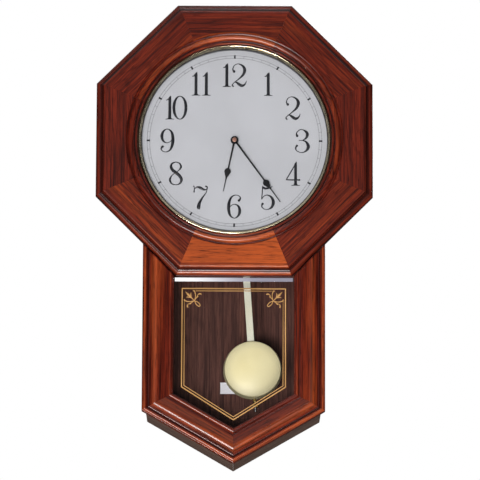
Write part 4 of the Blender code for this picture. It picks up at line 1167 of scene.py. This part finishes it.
class CLOCK_OT_hands(bpy.types.Operator):
    """Makes the two spade hands and the nut that holds them"""

    bl_idname = "clock.hands"
    bl_label = "Hands"

    def execute(self, context):
        sizes = context.scene.clock_sizes
        for node, length, spade, angle, body in (
            ("minute_hand", sizes.minute_length / MM, 64.6, 144.0, "minute_work"),
            ("hour_hand", sizes.hour_length / MM, 38.9, 192.0, "hour_work"),
        ):
            low, high = span(node, "depth")
            bore = 1.9 if node == "minute_hand" else 2.9
            grids = [self.blade(length, spade, low, high, angle)]
            black = finish("black_enamel")
            piece(f"spade_{node}", grids, black, body, [node], caps=True)
            hub = [(bore, low), (4.7, low), (4.7, high - 0.15), (4.55, high), (bore, high)]
            piece(f"{node}_boss", [turned(hub, steps=48)], black, body, along=True)
        low, high = span("hand_nut", "depth")
        nut = joined((0.0, low), (2.5, low), (2.7, low + 0.3), arc(2.2, high - 0.5, 0.5, 0, 90, 5),
                     (1.2, high), (1.0, high - 0.3), (0.0, high - 0.35))
        piece("domed_hand_nut", [turned(nut, steps=48)], finish("pink_brass"), "minute_work",
              ["hand_nut"])
        refinished("zinc_plated_steel", "fixing_nut")
        return {"FINISHED"}

    def blade(self, length, spade, low, high, angle):
        """A hand along its own line: half widths at stations from the hub over the round spade and
        its long taper to the tip, with the front edges eased."""
        belly = spade - 5.0 + 0.66 * np.arange(13)
        round_part = 3.9 * np.sqrt(np.clip(1 - ((belly - spade) / 4.1) ** 2, 0.05, 1))
        taper = spade + np.array((4.4, 5.6, 7.2, 9.2, 12.0))
        after = np.append(taper, (length - 0.6, length))
        after_width = np.array((2.4, 1.75, 1.1, 0.72, 0.6, 0.42, 0.2))
        keep = belly < spade + 3.4
        station = np.concatenate(((3.2, 4.4, 8.0, spade - 5.4), belly[keep], after))
        half = np.concatenate(((1.25, 1.15, 1.05, 0.8), round_part[keep], after_width))
        ease = np.minimum(0.16, half * 0.5)
        across = np.stack((-half, half, half, half - ease, ease - half, -half), axis=1)
        depth = np.array((low, low, high - 0.16, high, high, high - 0.16))
        turn = math.radians(90 - angle)
        along = station[:, None]
        x = along * math.cos(turn) + across * math.sin(turn)
        z = along * math.sin(turn) - across * math.cos(turn)
        return placed(x, depth[None, :], z)


class CLOCK_OT_movement(bpy.types.Operator):
    """Makes the ribbed setting knob and finishes the rest of the movement"""

    bl_idname = "clock.movement"
    bl_label = "Movement"

    def execute(self, context):
        low, high = span("setting_knob", "depth")
        middle = -9.0
        knob = joined((0.0, low), (3.6, low), (4.7, low + 0.5), (4.85, low + 1.0), (4.85, high - 0.5),
                      (4.4, high), (0.0, high))

        def ribs(angle, depth):
            return np.where((depth > low + 0.6) & (depth < high - 0.3), 0.15 * np.cos(24 * angle), 0.0)

        piece("ribbed_knob", [turned(knob, (middle, 0.0), 192, ripple=ribs)], finish("white_nylon"),
              "intermediate_work", ["setting_knob"])
        refinished("black_plastic", "movement_case", "movement_cover")
        refinished("white_nylon", "centre_wheel", "intermediate_wheel", "hour_wheel")
        refinished("zinc_plated_steel", "rotor", "pivot_pin", "battery_contact_left",
                   "battery_contact_right")
        refinished("enamelled_copper", "motor_coil", "drive_coil")
        refinished("black_rubber", "rubber_washer")
        refinished("battery_sleeve", "battery")
        refinished("green_laminate", "circuit_board")
        return {"FINISHED"}


# The pendulum


class CLOCK_OT_pendulum(bpy.types.Operator):
    """Makes the domed bob, the flat rod, the threaded stud and the knurled nut"""

    bl_idname = "clock.pendulum"
    bl_label = "Pendulum"

    def execute(self, context):
        rim, face = span("bob_shell", "depth")
        bob = context.scene.clock_sizes.bob_radius / MM
        middle = PIVOT_Z - BOB_DROP
        shell = hanging(self.shell(bob, rim, face, middle))
        piece("domed_bob", [shell], finish("pale_brass"), "bob", ["bob_shell"],
              along=True, sharp=40)
        low, high = span("pendulum_rod", "depth")
        half, foot, head = 4.05, middle - 20.0, PIVOT_Z - 60.0
        rod = [(-half, foot), (half, foot), (half, head), (-half, head)]
        made = piece("flat_rod", [hanging(board(rod, low, high))], finish("rod_brass"), "pendulum",
                     ["pendulum_rod"], caps=True)
        eased(made, 0.2)
        plane = (low + high) / 2
        top = middle - 20.3
        end = middle - bob - 15.0
        pitch = 0.7
        stations = np.linspace(top, end, 130)
        thread = np.column_stack((np.full(len(stations), 1.38), stations))
        thread = joined((0.0, top), thread, (0.0, end))

        def helix(angle, height):
            inside = (height < top - 0.2) & (height > end + 0.2)
            return np.where(inside, 0.12 * np.sin(angle - 2 * math.pi * height / pitch), 0.0)

        piece("threaded_stud", [hanging(turned(thread, (0.0, plane), 24, True, helix))],
              finish("zinc_plated_steel"), "pendulum", ["rating_stud"])
        neck = middle - bob - 0.3
        head = neck - 6.0
        knob = joined((2.2, neck), (2.4, neck - 0.3), (2.4, head + 0.1), (3.6, head), (4.05, head - 0.4),
                      (4.05, head - 3.2), (3.6, head - 3.6), (1.8, head - 3.6), (1.8, neck))

        def knurl(angle, height):
            inside = (height < head - 0.3) & (height > head - 3.3)
            return np.where(inside, 0.14 * np.cos(28 * angle), 0.0)

        nut = hanging(turned(knob, (0.0, plane), 224, True, knurl))
        piece("knurled_nut", [nut], finish("lacquered_brass"), "regulator",
              ["rating_nut"], along=True)
        refinished("pale_brass", "bob_back")
        refinished("black_plastic", "pendulum_strap")
        refinished("zinc_plated_steel", "pendulum_magnet")
        return {"FINISHED"}

    def shell(self, bob, rim, face, middle):
        """Domed bob, open at the back: a shallow dome, a small roll, a waist and a flared rim, with
        its wall inside. Where the rod passes, the open edge stands farther forward."""
        dome, rise = bob - 1.6, 5.0
        radius = (dome**2 + rise**2) / (2 * rise)
        spread = math.degrees(math.asin((dome - 0.9) / radius))
        outer = arc(0.0, face - radius, radius, 90, 90 - spread, 22)
        roll = outer[-1]
        low = roll[1] - 1.3
        outer = joined(outer, (roll[0] + 0.5, roll[1] - 0.18), (dome - 0.08, roll[1] - 0.62), (dome, low),
                       (bob - 0.15, rim + 1.0), (bob, rim))
        inner = arc(0.0, face - radius, radius - 0.6, 90 - spread, 90, 10)
        inner = joined((bob - 0.6, rim), (dome - 0.6, low), inner)
        profile = joined(outer, inner)
        profile[0, 0] = 0.0
        profile[-1, 0] = 0.0
        half = math.degrees(math.asin(4.4 / bob))
        slot = np.array((90 - half - 0.3, 90 - half, 90 + half, 90 + half + 0.3))
        plain = np.linspace(0, 360, 120, endpoint=False)
        clear = np.abs((plain % 180) - 90) > half + 0.4
        angle = np.sort(np.concatenate((plain[clear], slot, slot + 180, (90.0, 270.0))))
        open_here = np.abs((angle % 180) - 90) < half + 0.1
        depth = np.broadcast_to(profile[:, 1:2], (len(profile), len(angle))).copy()
        high = rim + 3.8
        depth = np.where(open_here[None, :] & (depth < high), high, depth)
        turn = np.radians(angle)[None, :]
        return placed(profile[:, 0:1] * np.cos(turn), depth, middle + profile[:, 0:1] * np.sin(turn))


# The stage


class CLOCK_OT_stage(bpy.types.Operator):
    """Makes the pale floor, the soft lights, the bright surroundings and the camera"""

    bl_idname = "clock.stage"
    bl_label = "Stage"

    def execute(self, context):
        scene = context.scene
        mesh = bpy.data.meshes.new("floor")
        corners = [(-8, -8, -3.6), (8, -8, -3.6), (8, 6, -3.6), (-8, 6, -3.6)]
        mesh.from_pydata(corners, [], [(0, 1, 2, 3)])
        floor = bpy.data.objects.new("floor", mesh)
        scene.collection.objects.link(floor)
        mesh.materials.append(finish("floor"))
        floor.visible_glossy = False
        self.lamp("front_softbox", (-0.62, -4.2, -1.36), (0, 0, -0.1), (1.5, 0.8), 149.0)
        self.lamp("left_softbox", (-2.4, -2.4, 0.1), (0, 0, -0.1), (0.5, 1.6), 7.0, False)
        self.lamp("right_softbox", (2.6, -1.9, 0.3), (0, 0, -0.1), (0.5, 1.6), 8.0, False)
        self.lamp("lower_softbox", (-0.1, -1.5, -1.75), (0, 0, -0.1), (3.0, 0.7), 21.0, False)
        self.lamp("upper_softbox", (-0.2, -2.4, 1.6), (0, 0, -0.2), (0.6, 0.3), 6.0)
        self.lamp("rear_softbox", (0.6, 3.0, 1.2), (0, 0, -0.1), (1.5, 1.5), 25.0)
        self.surroundings(scene)
        self.camera(scene)
        scene.view_settings.view_transform = "Standard"
        return {"FINISHED"}

    def lamp(self, name, place, target, size, power, mirrored=True):
        """One rectangular soft light that looks at a target, seen or not seen in polished surfaces."""
        light = bpy.data.lights.new(name, "AREA")
        light.shape = "RECTANGLE"
        light.size, light.size_y = size
        light.energy = power
        made = bpy.data.objects.new(name, light)
        made.location = place
        made.visible_glossy = mirrored
        made.rotation_euler = (Vector(target) - Vector(place)).to_track_quat("-Z", "Y").to_euler()
        bpy.context.scene.collection.objects.link(made)

    def surroundings(self, scene):
        """White to the camera, and to everything else a dim room with a bright ceiling."""
        world = bpy.data.worlds.new("surroundings")
        world.use_nodes = True
        tree = world.node_tree
        back = tree.nodes["Background"]
        path = tree.nodes.new("ShaderNodeLightPath")
        place = tree.nodes.new("ShaderNodeTexCoord")
        split = tree.nodes.new("ShaderNodeSeparateXYZ")
        level = tree.nodes.new("ShaderNodeMapRange")
        level.inputs["From Min"].default_value = 0.5
        level.inputs["From Max"].default_value = 1.0
        level.inputs["To Min"].default_value = 0.03
        level.inputs["To Max"].default_value = 0.6
        room = tree.nodes.new("ShaderNodeBackground")
        both = tree.nodes.new("ShaderNodeMixShader")
        tree.links.new(place.outputs["Generated"], split.inputs[0])
        tree.links.new(split.outputs["Z"], level.inputs["Value"])
        tree.links.new(level.outputs["Result"], room.inputs["Strength"])
        tree.links.new(path.outputs["Is Camera Ray"], both.inputs[0])
        tree.links.new(room.outputs[0], both.inputs[1])
        tree.links.new(back.outputs[0], both.inputs[2])
        tree.links.new(both.outputs[0], tree.nodes["World Output"].inputs["Surface"])
        back.inputs["Color"].default_value = (1, 1, 1, 1)
        back.inputs["Strength"].default_value = 1.0
        room.inputs["Color"].default_value = (1, 1, 1, 1)
        scene.world = world

    def camera(self, scene):
        """A long lens from below, looking slightly up at the clock."""
        lens = bpy.data.cameras.new("camera")
        lens.sensor_width = 36.0
        lens.lens = 296.7
        lens.clip_end = 50.0
        made = bpy.data.objects.new("camera", lens)
        scene.collection.objects.link(made)
        yaw = Matrix.Rotation(math.radians(-0.08), 4, "Z")
        pitch = Matrix.Rotation(math.radians(90 + 11.01), 4, "X")
        roll = Matrix.Rotation(math.radians(0.23), 4, "Z")
        made.matrix_world = Matrix.Translation((0.0006, -4.7101, -1.0184)) @ yaw @ pitch @ roll
        scene.camera = made


STEPS = (
    CLOCK_OT_octagon,
    CLOCK_OT_case,
    CLOCK_OT_door,
    CLOCK_OT_dial,
    CLOCK_OT_bezel,
    CLOCK_OT_hands,
    CLOCK_OT_movement,
    CLOCK_OT_pendulum,
    CLOCK_OT_stage,
)


class CLOCK_PT_panel(bpy.types.Panel):
    """Lists the clock's pieces, sizes and finishes"""

    bl_idname = "CLOCK_PT_panel"
    bl_label = "Octagonal wall clock"
    bl_space_type = "VIEW_3D"
    bl_region_type = "UI"
    bl_category = "Clock"

    def draw(self, context):
        column = self.layout.column(align=True)
        for step in STEPS:
            column.operator(step.bl_idname)
        for group in (context.scene.clock_sizes, context.scene.clock_finishes):
            column = self.layout.column()
            for name in group.__annotations__:
                column.prop(group, name)


CLASSES = (ClockSizes, ClockFinishes, *STEPS, CLOCK_PT_panel)


def register():
    for kind in CLASSES:
        bpy.utils.register_class(kind)
    bpy.types.Scene.clock_sizes = bpy.props.PointerProperty(type=ClockSizes)
    bpy.types.Scene.clock_finishes = bpy.props.PointerProperty(type=ClockFinishes)


def unregister():
    del bpy.types.Scene.clock_finishes
    del bpy.types.Scene.clock_sizes
    for kind in reversed(CLASSES):
        bpy.utils.unregister_class(kind)


def main():
    """Makes every piece in order."""
    register()
    for step in STEPS:
        group, name = step.bl_idname.split(".")
        getattr(getattr(bpy.ops, group), name)()


if __name__ == "__main__":
    main()
